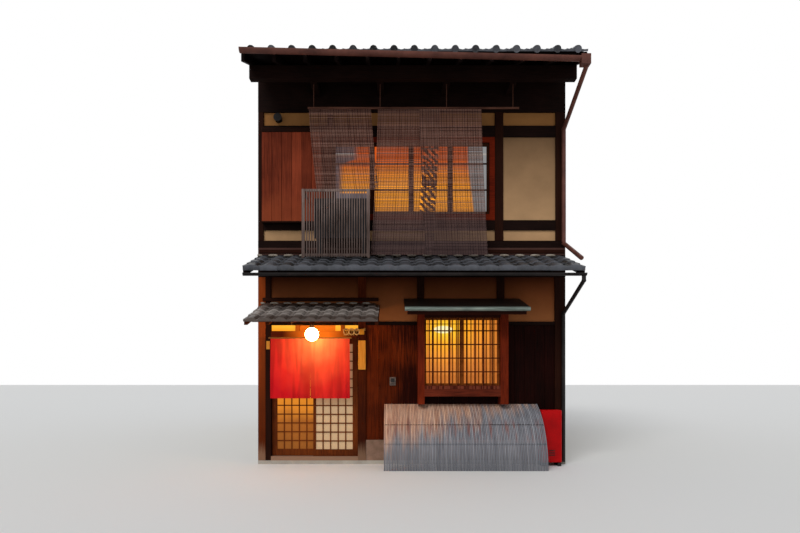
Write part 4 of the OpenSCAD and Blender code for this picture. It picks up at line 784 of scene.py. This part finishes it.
# Painted backlight: the sash bars are golden brown.
dress(timber("sash_cedar_painted_backlight", "#9c5420", "#5c2a0e", "Z"), "bay_window_sashes")
canopy_shaded_bay_rails = timber("red_brown_bay_rails_painted_shade", "#76301e", "#34130b", "X")
# Painted shade of the canopy: the top of the rails is almost black.
tint(canopy_shaded_bay_rails, "#180c09", 2.10, 2.16, 0.85)
dress(canopy_shaded_bay_rails, "bay_window_rails")
bay_glow, tree = new_material("lit_bay_paper")
bay_lamp = (0.46, 1.985)
cloud = node(tree, "TexNoise", {"Vector": place_in(tree), "Scale": 6.0, "Detail": 3.0})
spread = node(tree, "Math", {0: cloud, 1: 0.16, 2: distance_from(tree, *bay_lamp, 0.80, 1.25)},
              operation="MULTIPLY_ADD")
lit = node(tree, "ValToRGB", {"Fac": spread}, stops=[
    (0.10, "#ffdc3c"), (0.20, "#ffc42c"), (0.34, "#f8a822"), (0.58, "#e48c2c"),
    (0.78, "#c8742a"), (1.0, "#a85a20")])
shade = node(tree, "MapRange", {
    "Value": streaks(tree, (19.0, 1.0, 0.5), 2.0), "From Min": 0.50, "From Max": 0.62,
    "To Max": 0.65})
banded = node(tree, "MixRGB", {"Fac": shade, "Color1": lit, "Color2": srgb("#a04e1c")})
on_lamp = node(tree, "MapRange", {
    "Value": distance_from(tree, *bay_lamp, 1.0, 2.6), "From Min": 0.155, "From Max": 0.125,
    "To Max": 0.9})
lamplit = node(tree, "MixRGB", {"Fac": on_lamp, "Color1": banded, "Color2": srgb("#fff4bc")})
surface = node(tree, "BsdfPrincipled", {
    "Base Color": srgb("#a8763a"), "Roughness": 0.85, "Specular IOR Level": 0.1,
    "Emission Color": lamplit, "Emission Strength": 1.05})
node(tree, "OutputMaterial", {"Surface": surface})
dress(bay_glow, "bay_window_pane")
sill_fins = new_bm()
fin_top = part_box("bay_window_lattice")[0].z - 0.008
fin_x0, fin_x1 = (corner.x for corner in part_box("bay_window_pane"))
bay_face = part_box("bay_window_posts")[0].y
fins, fin_half, fin_height = 74, 0.004, 0.044
for i in range(fins):
    x = fin_x0 + (i + 0.5) * (fin_x1 - fin_x0) / fins
    block(sill_fins, (x - fin_half, bay_face - 0.004, fin_top - fin_height),
          (x + fin_half, bay_face + 0.002, fin_top), tone=random.random())
fin_stain = timber("worn_sill_fins", "#884430", "#3c150d", "Z", toned=True)
add_mesh("bay_sill_fins", sill_fins, fin_stain, "red_wood")

# Bay canopy: the rolled front edge is pale green-grey, patina with a painted highlight, and
# painted shade keeps the sheet behind it almost black.
canopy_copper_painted_light, tree = new_material("weathered_copper_sheet_painted_light")
streak = streaks(tree, (3.6, 27.0, 27.0), 6.0)
bright = node(tree, "ValToRGB", {"Fac": streak}, stops=[(0.38, "#5e6862"), (0.66, "#8b978c")])
dull = node(tree, "ValToRGB", {"Fac": streak}, stops=[(0.38, "#17110e"), (0.66, "#2b211c")])
rolled_edge = -4.262
depth = node(tree, "SeparateXYZ", {"Vector": place_in(tree)}).outputs["Y"]
rolled_edge_highlight = node(tree, "MapRange", {
    "Value": depth, "From Min": rolled_edge + 0.004, "From Max": rolled_edge - 0.004})
both = node(tree, "MixRGB", {"Fac": rolled_edge_highlight, "Color1": dull, "Color2": bright})
bump = node(tree, "Bump", {"Height": streak, "Strength": 0.3, "Distance": 0.002})
surface = node(tree, "BsdfPrincipled", {
    "Base Color": both, "Metallic": 0.25, "Roughness": 0.5, "Specular IOR Level": 0.3,
    "Normal": bump})
node(tree, "OutputMaterial", {"Surface": surface})
dress(canopy_copper_painted_light, "bay_window_canopy")


# Bamboo fence
# Split bamboo, bent from the wall down to the street and nailed side by side to two rails.
# It has weathered blue-grey at the foot and keeps reddish-brown streaks in its upper half.
def band(tree, value, start, end, soft):
    after = node(tree, "MapRange", {
        "Value": value, "From Min": start - soft, "From Max": start + soft})
    before = node(tree, "MapRange", {
        "Value": value, "From Min": end + soft, "From Max": end - soft})
    return node(tree, "Math", {0: after, 1: before}, operation="MULTIPLY")


fence_low, fence_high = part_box("bamboo_fence")
fence_radius, foot_z = 0.985, 0.002
run, rise = fence_high.y - fence_low.y, fence_high.z - fence_low.z
sag = math.sqrt(fence_radius ** 2 - (run ** 2 + rise ** 2) / 4)
lean = math.atan2(rise, run)
bend_y = front_y - run / 2 + sag * math.sin(lean)
bend_z = rise / 2 - sag * math.cos(lean)
foot_angle = math.atan2(foot_z - bend_z, front_y - run - bend_y)
head_angle = math.atan2(fence_high.z - bend_z, front_y - bend_y)
strip_count, strip_thick, strip_bulge, strip_joint = 103, 0.005, 0.0035, 0.0038
strip_pitch = (fence_high.x - fence_low.x) / strip_count
strip = bmesh.new()
bmesh.ops.create_grid(strip, x_segments=4, y_segments=16, size=0.5)
for vert in strip.verts:
    angle = foot_angle + (vert.co.y + 0.5) * (head_angle - foot_angle)
    bulge = fence_radius - strip_bulge * (2 * vert.co.x) ** 2
    vert.co = Vector((vert.co.x * (strip_pitch - strip_joint), bend_y + bulge * math.cos(angle),
                      bend_z + bulge * math.sin(angle)))
bmesh.ops.recalc_face_normals(strip, faces=strip.faces)
bmesh.ops.solidify(strip, geom=strip.faces[:], thickness=strip_thick)
strip_shape = mesh_from("bamboo_strip_shape", strip)
strip_places = [fence_low.x + (i + 0.5) * strip_pitch for i in range(strip_count)]
fence = new_bm()
for x in strip_places:
    proud = random.uniform(-0.002, 0.0)
    stamp(fence, strip_shape, Matrix.Translation((x, -proud, 0.0)), random.random())
split_bamboo, tree = new_material("weathered_split_bamboo")
parts = node(tree, "SeparateXYZ", {"Vector": place_in(tree)})
height = parts.outputs["Z"]
streak = streaks(tree, (70.0, 5.0, 5.0), 5.0)
grey = node(tree, "MixRGB", {"Fac": 0.28, "Color1": streak, "Color2": tone_of(tree)})
cold = node(tree, "ValToRGB", {"Fac": grey}, stops=[(0.20, "#62646c"), (0.80, "#a5a5aa")])
warm = node(tree, "ValToRGB", {"Fac": grey}, stops=[(0.20, "#a0705a"), (0.80, "#eec4a6")])
across = node(tree, "Math", {0: parts.outputs["X"], 1: -0.27, 2: height},
              operation="MULTIPLY_ADD")
raised = node(tree, "Math", {0: streaks(tree, (16.0, 1.6, 1.6), 5.0), 1: 0.9, 2: across},
              operation="MULTIPLY_ADD")
upper = node(tree, "MapRange", {
    "Value": raised, "From Min": 0.80, "From Max": 1.12, "To Max": 0.95})
mixed = node(tree, "MixRGB", {"Fac": upper, "Color1": cold, "Color2": warm})
spill = node(tree, "MapRange", {
    "Value": streaks(tree, (26.0, 2.2, 2.2), 3.0), "From Min": 0.52, "From Max": 0.62,
    "To Max": 0.6})
amount = node(tree, "Math", {0: spill, 1: band(tree, height, 0.42, 0.66, 0.06)},
              operation="MULTIPLY")
stained = node(tree, "MixRGB", {"Fac": amount, "Color1": mixed, "Color2": srgb("#8a4a3a")})
bump = node(tree, "Bump", {"Height": streak, "Strength": 0.6, "Distance": 0.0015})
surface = node(tree, "BsdfPrincipled", {
    "Base Color": stained, "Roughness": 0.65, "Specular IOR Level": 0.12, "Normal": bump})
node(tree, "OutputMaterial", {"Surface": surface})
tint(split_bamboo, "#5c5d62", 0.42, 0.05, 0.6)
add_mesh("bamboo_strips", fence, split_bamboo, "grey_bamboo", "bamboo_fence")
rails, nails = new_bm(), new_bm()
rail_heights = (0.606, 0.356)
rail_half, rail_depth, nail_radius = 0.015, 0.030, 0.004
back = fence_radius - strip_thick - strip_bulge
nailed = fence_radius + 0.0005
for z in rail_heights:
    y = bend_y - math.sqrt(back ** 2 - (z - bend_z) ** 2)
    block(rails, (fence_low.x + 0.01, y + 0.001, z - rail_half),
          (fence_high.x - 0.01, y + 0.001 + rail_depth, z + rail_half), ease=0.003, tone=0.3)
    angle = math.atan2(z - bend_z, y - bend_y)
    nail_y = bend_y + nailed * math.cos(angle)
    nail_z = bend_z + nailed * math.sin(angle)
    for x in strip_places:
        place = (Matrix.Translation((x, nail_y, nail_z))
                 @ Matrix.Rotation(angle + math.pi / 2, 4, "X"))
        rod(nails, place, nail_radius, nail_radius, 0.003, 8, random.random())
add_mesh("fence_rails", rails, shaded_dark_level_cedar, "dark_wood")
rusted = mineral("rusted_nail_heads", "#4d3a30", "#2c2320", 0.02, 0.002, 0.0002, 0.6)
add_mesh("fence_nails", nails, rusted, "dark_gutter")


# Extinguisher box
# A folded steel box with rounded corners on two feet, enamelled red. Its door stands a little
# proud, with three louvres low down, and its face is bare.
low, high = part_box("extinguisher_box")
middle_x, box_foot, door_proud = (low.x + high.x) / 2, low.z + 0.052, 0.012
housing = new_bm()
block(housing, (low.x, low.y + door_proud, box_foot), (high.x, high.y, high.z), ease=0.012)
block(housing, (low.x + 0.008, low.y, box_foot + 0.010),
      (high.x - 0.008, low.y + 0.010, high.z - 0.010), ease=0.005)
red_enamel = mineral("red_enamel", "#bd060a", "#9c0508", 0.25, 0.02, 0.0004, 0.4, 0.1)
add_mesh("extinguisher_housing", housing, red_enamel, "red_paint", "extinguisher_box")
feet = new_bm()
for x in (low.x + 0.010, high.x - 0.060):
    block(feet, (x, low.y + door_proud, low.z), (x + 0.05, high.y - 0.01, box_foot), ease=0.003)
louvres, louvre_pitch = 3, 0.032
for i in range(louvres):
    z = box_foot + 0.105 + i * louvre_pitch
    block(feet, (middle_x - 0.045, low.y - 0.003, z), (middle_x + 0.045, low.y + 0.002, z + 0.013))
dark_steel = mineral("dark_coated_steel", "#2c2726", "#181515", 0.05, 0.003, 0.0003, 0.5)
add_mesh("extinguisher_feet", feet, dark_steel, "dark_gutter")


# Lower roof, gutter and downpipe
# The same smoked tiles on dark rafters between the storeys. A dark half-round gutter hangs at
# the eave and drains into a pipe down the right corner post.
lower_low, lower_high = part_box("lower_roof_tiles")
lower_slope, lower_boards_top, lower_waves = 0.37, 3.045, 20
smoked_tile = fired_clay("smoked_clay_tiles", "#62646b", "#0c0d0f", "#6e6d68")
lower_tiles = new_bm()
tile_field(lower_tiles, lower_low.x, lower_high.x, lower_low.y, front_y, lower_boards_top,
           lower_slope, lower_waves, 0.030, 0.030, 0.28, lip=0.028)
add_mesh("lower_pan_tiles", lower_tiles, smoked_tile, "roof_tile", "lower_roof_tiles")
wall_joint("lower_roof", lower_low.x, lower_high.x, lower_boards_top + 0.024, 0.040, lower_waves)
dark_coat = mineral("dark_coated_gutter", "#282322", "#131111", 0.3, 0.003, 0.0004, 0.5)
dress(dark_coat, "lower_gutter", "lower_downpipe")


# Condenser and its slatted cover
# A grey enamelled unit stands on the lower roof, with a wire guard over its fan, painted almost
# black as shade. A slatted screen of coated cedar, faded grey-brown, hides it from the street.
# Painted shade: the unit is coloured almost black.
dress(mineral("grey_unit_enamel_painted_shade", "#25292d", "#16191c", 0.4, 0.01, 0.0003, 0.45),
      "condenser_unit")
unit_low, unit_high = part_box("condenser_unit")
unit_height, fan_inset, fan_radius = 0.555, 0.056, 0.210
guard_face = Matrix.Translation((
    unit_low.x + fan_inset + fan_radius, unit_low.y - 0.004, unit_high.z - unit_height / 2))
guard_radius, rings, spokes = 0.215, 8, 4
ring_wire, spoke_wire = 0.0022, 0.0028
guard = new_bm()
for ring in range(1, rings + 1):
    first = len(guard.verts)
    place = guard_face @ Matrix.Translation((guard_radius * ring / rings, 0, 0))
    profile = bmesh.ops.create_circle(guard, segments=6, radius=ring_wire, matrix=place)
    edges = list({edge for vert in profile["verts"] for edge in vert.link_edges})
    bmesh.ops.spin(guard, geom=profile["verts"] + edges, cent=guard_face.translation,
                   axis=(0, 1, 0), angle=math.tau, steps=40, use_merge=True)
    set_tone(guard, first, 0.5)
for spoke in range(spokes):
    rod(guard, guard_face @ Matrix.Rotation(spoke * math.pi / spokes, 4, "Y"), guard_radius * 2,
        spoke_wire, spoke_wire, 6)
guard_wire = mineral("dark_fan_guard", "#202225", "#121315", 0.05, 0.003, 0.0003, 0.5)
add_mesh("fan_guard", guard, guard_wire, "dark_gutter")
shaded_cover_cedar = timber("faded_cover_slats_painted_shade", "#9c867e", "#46362f", "Z", fibre=0.012, rough=0.75)
# Painted shade: the slats darken towards their foot.
tint(shaded_cover_cedar, "#1a1210", 3.85, 3.35, 0.5)
dress(shaded_cover_cedar, "condenser_cover")


# Shutter case
# The box beside the upper window that takes the rain shutters. Upright red-brown boards are
# nailed to its frame, under a sloping board that throws the rain off.
case_low, case_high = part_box("shutter_case")
cap_height, foot_height, back_face = 0.070, 0.018, case_low.y + 0.034
board_joint, columns = 0.004, 7
board_width = (case_high.x - case_low.x) / columns
case_boards = new_bm()
for i in range(columns):
    proud = random.uniform(0.0, 0.003)
    left = case_low.x + i * board_width
    block(case_boards,
          (left + board_joint / 2, case_low.y + 0.010 - proud, case_low.z + foot_height),
          (left + board_width - board_joint / 2, back_face, case_high.z - cap_height),
          ease=0.002, tone=random.random())
case_stain = timber("red_brown_shutter_boards", "#8e3e26", "#45190f", "Z", fibre=0.016,
                    toned=True, relief=0.002, share=0.25)
tree = case_stain.node_tree
broad = node(tree, "TexNoise", {"Vector": place_in(tree), "Scale": 3.0, "Detail": 4.0})
low_part = node(tree, "Math", {0: broad, 1: 0.8, 2: height_of(tree)}, operation="MULTIPLY_ADD")
washed = node(tree, "MapRange", {
    "Value": low_part, "From Min": 4.45, "From Max": 4.05, "To Max": 0.6})
overlay(case_stain, washed, srgb("#924428"))
add_mesh("shutter_case_boards", case_boards, case_stain, "red_wood", "shutter_case")
case_frame = new_bm()
block(case_frame, (case_low.x, case_low.y, case_high.z - cap_height), case_high, ease=0.006,
      tone=0.3)
block(case_frame, (case_low.x, back_face, case_low.z),
      (case_high.x, case_high.y, case_high.z - cap_height), tone=0.3)
block(case_frame, (case_low.x, case_low.y + 0.008, case_low.z),
      (case_high.x, back_face, case_low.z + foot_height - 0.001), tone=0.4)
frame_stain = timber("dark_case_frame", "#33190f", "#140907", "X", toned=True)
add_mesh("shutter_case_frame", case_frame, frame_stain, "dark_wood")


# Upper window
# Four dark sashes with two thin bars each, in a red-brown frame. The room behind is lit, and
# the glass glows orange above gold, with a striped hanging and grey daylight at the sides.
def beyond(tree, value, edge, start, end):
    past = node(tree, "Math", {0: value, 1: edge}, operation="SUBTRACT")
    return node(tree, "MapRange", {"Value": past, "From Min": start, "From Max": end})


dress(timber("red_brown_window_frame", "#86280f", "#360e07", "X"), "upper_window_frame")
dress(timber("dark_sash_cedar", "#42200f", "#1c0c07", "Z"), "upper_window_sashes")
glass_low, glass_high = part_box("upper_window_glass")
lit_glass, tree = new_material("lit_window_glass")
place = place_in(tree)
parts = node(tree, "SeparateXYZ", {"Vector": place})
x, z = parts.outputs["X"], parts.outputs["Z"]
cloud = node(tree, "TexNoise", {"Vector": place, "Scale": 2.2, "Detail": 3.0})
level = node(tree, "MapRange", {"Value": z, "From Min": glass_low.z, "From Max": glass_high.z})
shifted = node(tree, "Math", {0: cloud, 1: 0.2, 2: level}, operation="MULTIPLY_ADD")
room = node(tree, "ValToRGB", {"Fac": shifted}, stops=[
    (0.10, "#e48c10"), (0.45, "#fc9e14"), (0.66, "#ea8414"), (0.82, "#c85610"),
    (1.0, "#bc4c10")])
taper = node(tree, "Math", {0: level, 1: -0.060, 2: x}, operation="MULTIPLY_ADD")
hanging = band(tree, taper, 0.115, 0.350, 0.01)
zebra = node(tree, "TexWave", {
    "Vector": place, "Scale": 5.8, "Distortion": 4.2, "Detail": 2.0, "Detail Scale": 1.2},
    bands_direction="DIAGONAL")
dark_stripe = node(tree, "MapRange", {
    "Value": zebra.outputs["Fac"], "From Min": 0.46, "From Max": 0.58, "To Min": 1.0,
    "To Max": 0.0})
dyed = node(tree, "Math", {0: hanging, 1: dark_stripe}, operation="MULTIPLY")
hung_mix = node(tree, "MixRGB", {"Fac": dyed, "Color1": room, "Color2": srgb("#1c0b05")})
left_edge = node(tree, "MapRange", {
    "Value": z, "From Min": 4.46, "From Max": 4.54, "To Min": -1.06, "To Max": -0.84})
right_edge = node(tree, "MapRange", {
    "Value": z, "From Min": 3.75, "From Max": 4.45, "To Min": 0.93, "To Max": 0.84})
foot_edge = node(tree, "MapRange", {
    "Value": x, "From Min": -0.60, "From Max": -0.58, "To Min": 4.04, "To Max": 3.0})
lit = beyond(tree, x, left_edge, -0.03, 0.05)
for inside in (beyond(tree, right_edge, x, -0.015, 0.015),
               beyond(tree, z, foot_edge, -0.02, 0.02)):
    lit = node(tree, "Math", {0: lit, 1: inside}, operation="MULTIPLY")
side = node(tree, "MapRange", {"Value": x, "From Min": -0.1, "From Max": 0.1})
grey = node(tree, "MixRGB", {
    "Fac": side, "Color1": srgb("#504a50"), "Color2": srgb("#7c7c7c")})
pale_rod = node(tree, "MixRGB", {
    "Fac": band(tree, z, 4.600, 4.625, 0.004), "Color1": grey, "Color2": srgb("#948c84")})
shown = node(tree, "MixRGB", {"Fac": lit, "Color1": pale_rod, "Color2": hung_mix})
strength = node(tree, "MapRange", {"Value": hanging, "To Min": 1.25, "To Max": 2.5})
surface = node(tree, "BsdfPrincipled", {
    "Base Color": srgb("#2a2420"), "Roughness": 0.10, "Specular IOR Level": 0.05,
    "Emission Color": shown, "Emission Strength": strength})
node(tree, "OutputMaterial", {"Surface": surface})
dress(lit_glass, "upper_window_glass")


# Screen rail and reed screens
# Three screens of split reed, tied with dark cord, hang from a weathered pole on iron rods.
# The window glows through them. The wind has pushed their lower ends sideways.
dress(timber("weathered_screen_pole", "#6a4638", "#2e1c17", "X", fibre=0.008), "screen_rail")
reed_material, tree = new_material("weathered_split_reed")
fibre = streaks(tree, (30.0, 60.0, 3.0), 4.0)
blend = node(tree, "MixRGB", {"Fac": 0.5, "Color1": fibre, "Color2": tone_of(tree)})
dry = node(tree, "ValToRGB", {"Fac": blend}, stops=[(0.25, "#4c322c"), (0.75, "#a07a6c")])
surface = node(tree, "BsdfPrincipled", {
    "Base Color": dry, "Roughness": 0.8, "Specular IOR Level": 0.04})
tint(reed_material, "#565056", 4.0, 3.3, 0.55)
through = node(tree, "BsdfTranslucent", {"Color": srgb("#e09a50")})
both = node(tree, "MixShader", {0: 0.16, 1: surface, 2: through})
node(tree, "OutputMaterial", {"Surface": both})
cord_material = mineral("dark_tying_cord", "#2c1e1c", "#160f0e", 0.02, 0.002, 0.0002)
screen_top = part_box("reed_screens")[1].z
screen_width, reed_radius, reed_edge, bent = 0.880, 0.0036 / 1.41, 0.004, 1.3
cord_count, cord_steps, cord_inset, cord_edge = 24, 8, 0.012, 0.006
for name, corner_x, plane_y, low_z, sway in [
        ("left", -1.468, -3.998, 3.935, 0.110), ("middle", -0.492, -3.982, 3.018, -0.100),
        ("right", 0.093, -3.998, 3.018, 0.092)]:
    reeds = new_bm()
    drop = screen_top - low_z
    z, bunch, shade = screen_top - reed_edge, 0, 0.5
    while z > low_z + reed_edge:
        if bunch == 0:
            bunch, shade = random.randint(2, 6), random.random()
            z -= random.uniform(0.0, 0.006)
        part = (screen_top - z) / drop
        x = corner_x + sway * part ** bent + random.uniform(-0.002, 0.002)
        y = plane_y + random.uniform(-0.001, 0.001)
        place = (Matrix.Translation((x + screen_width / 2, y, z))
                 @ Matrix.Rotation(math.pi / 2 + random.uniform(-0.0012, 0.0012), 4, "Y")
                 @ Matrix.Rotation(math.pi / 4, 4, "Z"))
        rod(reeds, place, screen_width, reed_radius, reed_radius, 4,
            0.40 * shade + 0.60 * random.random())
        bunch -= 1
        z -= random.uniform(0.0060, 0.0084)
    add_mesh(f"{name}_screen_reeds", reeds, reed_material, "reed",
             *(["reed_screens"] if name == "left" else []))
    cords = new_bm()
    for k in range(cord_count):
        x = corner_x + cord_inset + k * (screen_width - 2 * cord_inset) / (cord_count - 1)
        x = min(max(x + random.uniform(-0.008, 0.008), corner_x + cord_edge),
                corner_x + screen_width - cord_edge)
        cord_radius = random.choice([0.0014, 0.0020, 0.0028])
        for s in range(cord_steps):
            z1 = screen_top - s * drop / cord_steps
            z0 = z1 - drop / cord_steps
            x1 = x + sway * (s / cord_steps) ** bent
            x0 = x + sway * ((s + 1) / cord_steps) ** bent
            place = (Matrix.Translation(((x0 + x1) / 2, plane_y - 0.002, (z0 + z1) / 2))
                     @ Matrix.Rotation(-math.atan2(x0 - x1, z1 - z0), 4, "Y"))
            rod(cords, place, math.hypot(z1 - z0, x1 - x0), cord_radius, cord_radius, 4,
                random.random())
    add_mesh(f"{name}_screen_cords", cords, cord_material, "reed")


# Vent cap
# A round steel cap over a vent in the plaster, dark and weathered. It is coated like the
# lower gutter and lies flat on the panel.
dress(dark_coat, "vent_cap")


# Main roof and ridge
# Smoked tiles in courses from both eaves up to the ridge, with round ends at the eaves. The
# ridge is built up of flat tiles in three courses under a row of half-round cap tiles.
main_low, main_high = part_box("main_roof_tiles")
main_slope, main_waves = 0.45, 17
main_lean = math.atan(main_slope)
tile_pitch = (main_high.x - main_low.x) / main_waves
rafters_low, rafters_and_boards = 5.844, 0.130
ridge_half, ridge_courses, course_height, course_inset = 0.120, 3, 0.070, 0.015
ridge_apex = rafters_low + main_slope * -front_y + rafters_and_boards
ridge_foot = ridge_apex - main_slope * ridge_half
disc_radius, disc_depth, disc_lift = 0.044, 0.030, 0.027
for name, side, eave_run in [("street", 1, 0.930), ("yard", -1, 0.600)]:
    main_tiles = new_bm()
    eave_y = front_y - eave_run
    tile_field(main_tiles, main_low.x, main_high.x, eave_y, -ridge_half, ridge_foot,
               main_slope, main_waves, 0.028, 0.045, 0.16, mirror=side)
    eave_z = ridge_foot - main_slope * (-ridge_half - eave_y)
    for i in range(main_waves):
        centre = (main_low.x + (i + 0.5) * tile_pitch, eave_y - disc_lift * math.sin(main_lean),
                  eave_z + disc_lift * math.cos(main_lean))
        facing = (Matrix.Diagonal((1, side, 1, 1)) @ Matrix.Translation(centre)
                  @ Matrix.Rotation(math.pi / 2 + main_lean, 4, "X"))
        first = len(main_tiles.verts)
        disc = bmesh.ops.create_cone(
            main_tiles, cap_ends=True, segments=24, radius1=disc_radius, radius2=disc_radius,
            depth=disc_depth, matrix=facing @ Matrix.Translation((0, 0, -0.008)))
        face = max((f for f in main_tiles.faces if len(f.verts) == 24 and f.verts[0]
                    in disc["verts"]), key=lambda f: -side * f.calc_center_median().y)
        bmesh.ops.inset_region(main_tiles, faces=[face], thickness=0.010, depth=-0.004)
        set_tone(main_tiles, first, random.random())
    add_mesh(f"{name}_roof_tiles", main_tiles, smoked_tile, "roof_tile",
             *(["main_roof_tiles"] if side == 1 else []))
ridge = new_bm()
flat_length, joint_gap = 0.30, 0.001
for layer in range(ridge_courses):
    half = ridge_half - course_inset * layer
    stagger = flat_length / 2 * (layer % 2)
    low_z = ridge_foot if layer == 0 else ridge_apex + course_height * layer
    x = main_low.x
    while x < main_high.x - 0.001:
        end = min(main_high.x, x + (flat_length if x > main_low.x else flat_length - stagger))
        block(ridge, (x + joint_gap, -half, low_z),
              (end - joint_gap, half, ridge_apex + course_height * (layer + 1) - 0.002),
              ease=0.003, tone=random.random())
        x = end
caps, cap_radius, cap_tail = 16, 0.0748, 0.068
cap_length = (main_high.x - main_low.x) / caps
for i in range(caps):
    spot = (main_low.x + (i + 0.5) * cap_length, 0, ridge_apex + ridge_courses * course_height)
    rod(ridge, Matrix.Translation(spot) @ Matrix.Rotation(math.pi / 2, 4, "Y"), cap_length,
        cap_radius, cap_tail, 24, random.random())
add_mesh("ridge_tiles", ridge, smoked_tile, "roof_tile", "roof_ridge")


# Upper gutter and downpipe
# A brown coated half-round gutter under the main eave, with a hopper and a pipe that comes
# back to the corner post and ends over the lower roof.
dress(mineral("brown_coated_gutter", "#6f4439", "#472a24", 0.3, 0.003, 0.0004, 0.5),
      "upper_gutter", "upper_downpipe")


# Yard windows
# Plain double windows in brown cedar frames light the rooms at the back. Casings with a
# meeting stile and a sill cover the joint between frame and wall.
dress(timber("brown_yard_window_cedar", "#6e3a24", "#30150e", "Z"), "rear_window_frames")
yard_glass, tree = new_material("yard_window_glass")
ripple = node(tree, "TexNoise", {"Vector": place_in(tree), "Scale": 3.0, "Detail": 2.0})
dusk = node(tree, "ValToRGB", {"Fac": ripple}, stops=[(0.0, "#39424a"), (1.0, "#66727c")])
surface = node(tree, "BsdfPrincipled", {"Base Color": dusk, "Roughness": 0.06})
node(tree, "OutputMaterial", {"Surface": surface})
dress(yard_glass, "rear_window_glass")
casings = new_bm()
glass_low, glass_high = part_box("rear_window_glass")
casing_y, window_side, bar, stile_half = glass_high.y + 0.001, 0.780, 0.045, 0.025
casing_depth, sill_over = 0.030, 0.030
for middle_x in (glass_low.x + window_side / 2, glass_high.x - window_side / 2):
    for z0 in (glass_low.z, glass_high.z - window_side):
        x0, x1 = middle_x - window_side / 2, middle_x + window_side / 2
        z1 = z0 + window_side
        for left, right, foot, head in [
                (x0, x0 + bar, z0, z1), (x1 - bar, x1, z0, z1),
                (x0 + bar, x1 - bar, z0, z0 + bar), (x0 + bar, x1 - bar, z1 - bar, z1),
                (middle_x - stile_half, middle_x + stile_half, z0 + bar, z1 - bar)]:
            block(casings, (left, casing_y, foot), (right, casing_y + casing_depth, head),
                  ease=0.002, tone=random.random())
        block(casings, (x0 - sill_over, casing_y + casing_depth, z0 - sill_over),
              (x1 + sill_over, casing_y + 0.085, z0), ease=0.004, tone=0.5)
casing_stain = timber("brown_yard_casing_cedar", "#7a4228", "#341810", "Z", toned=True)
add_mesh("yard_window_casings", casings, casing_stain, "red_wood")
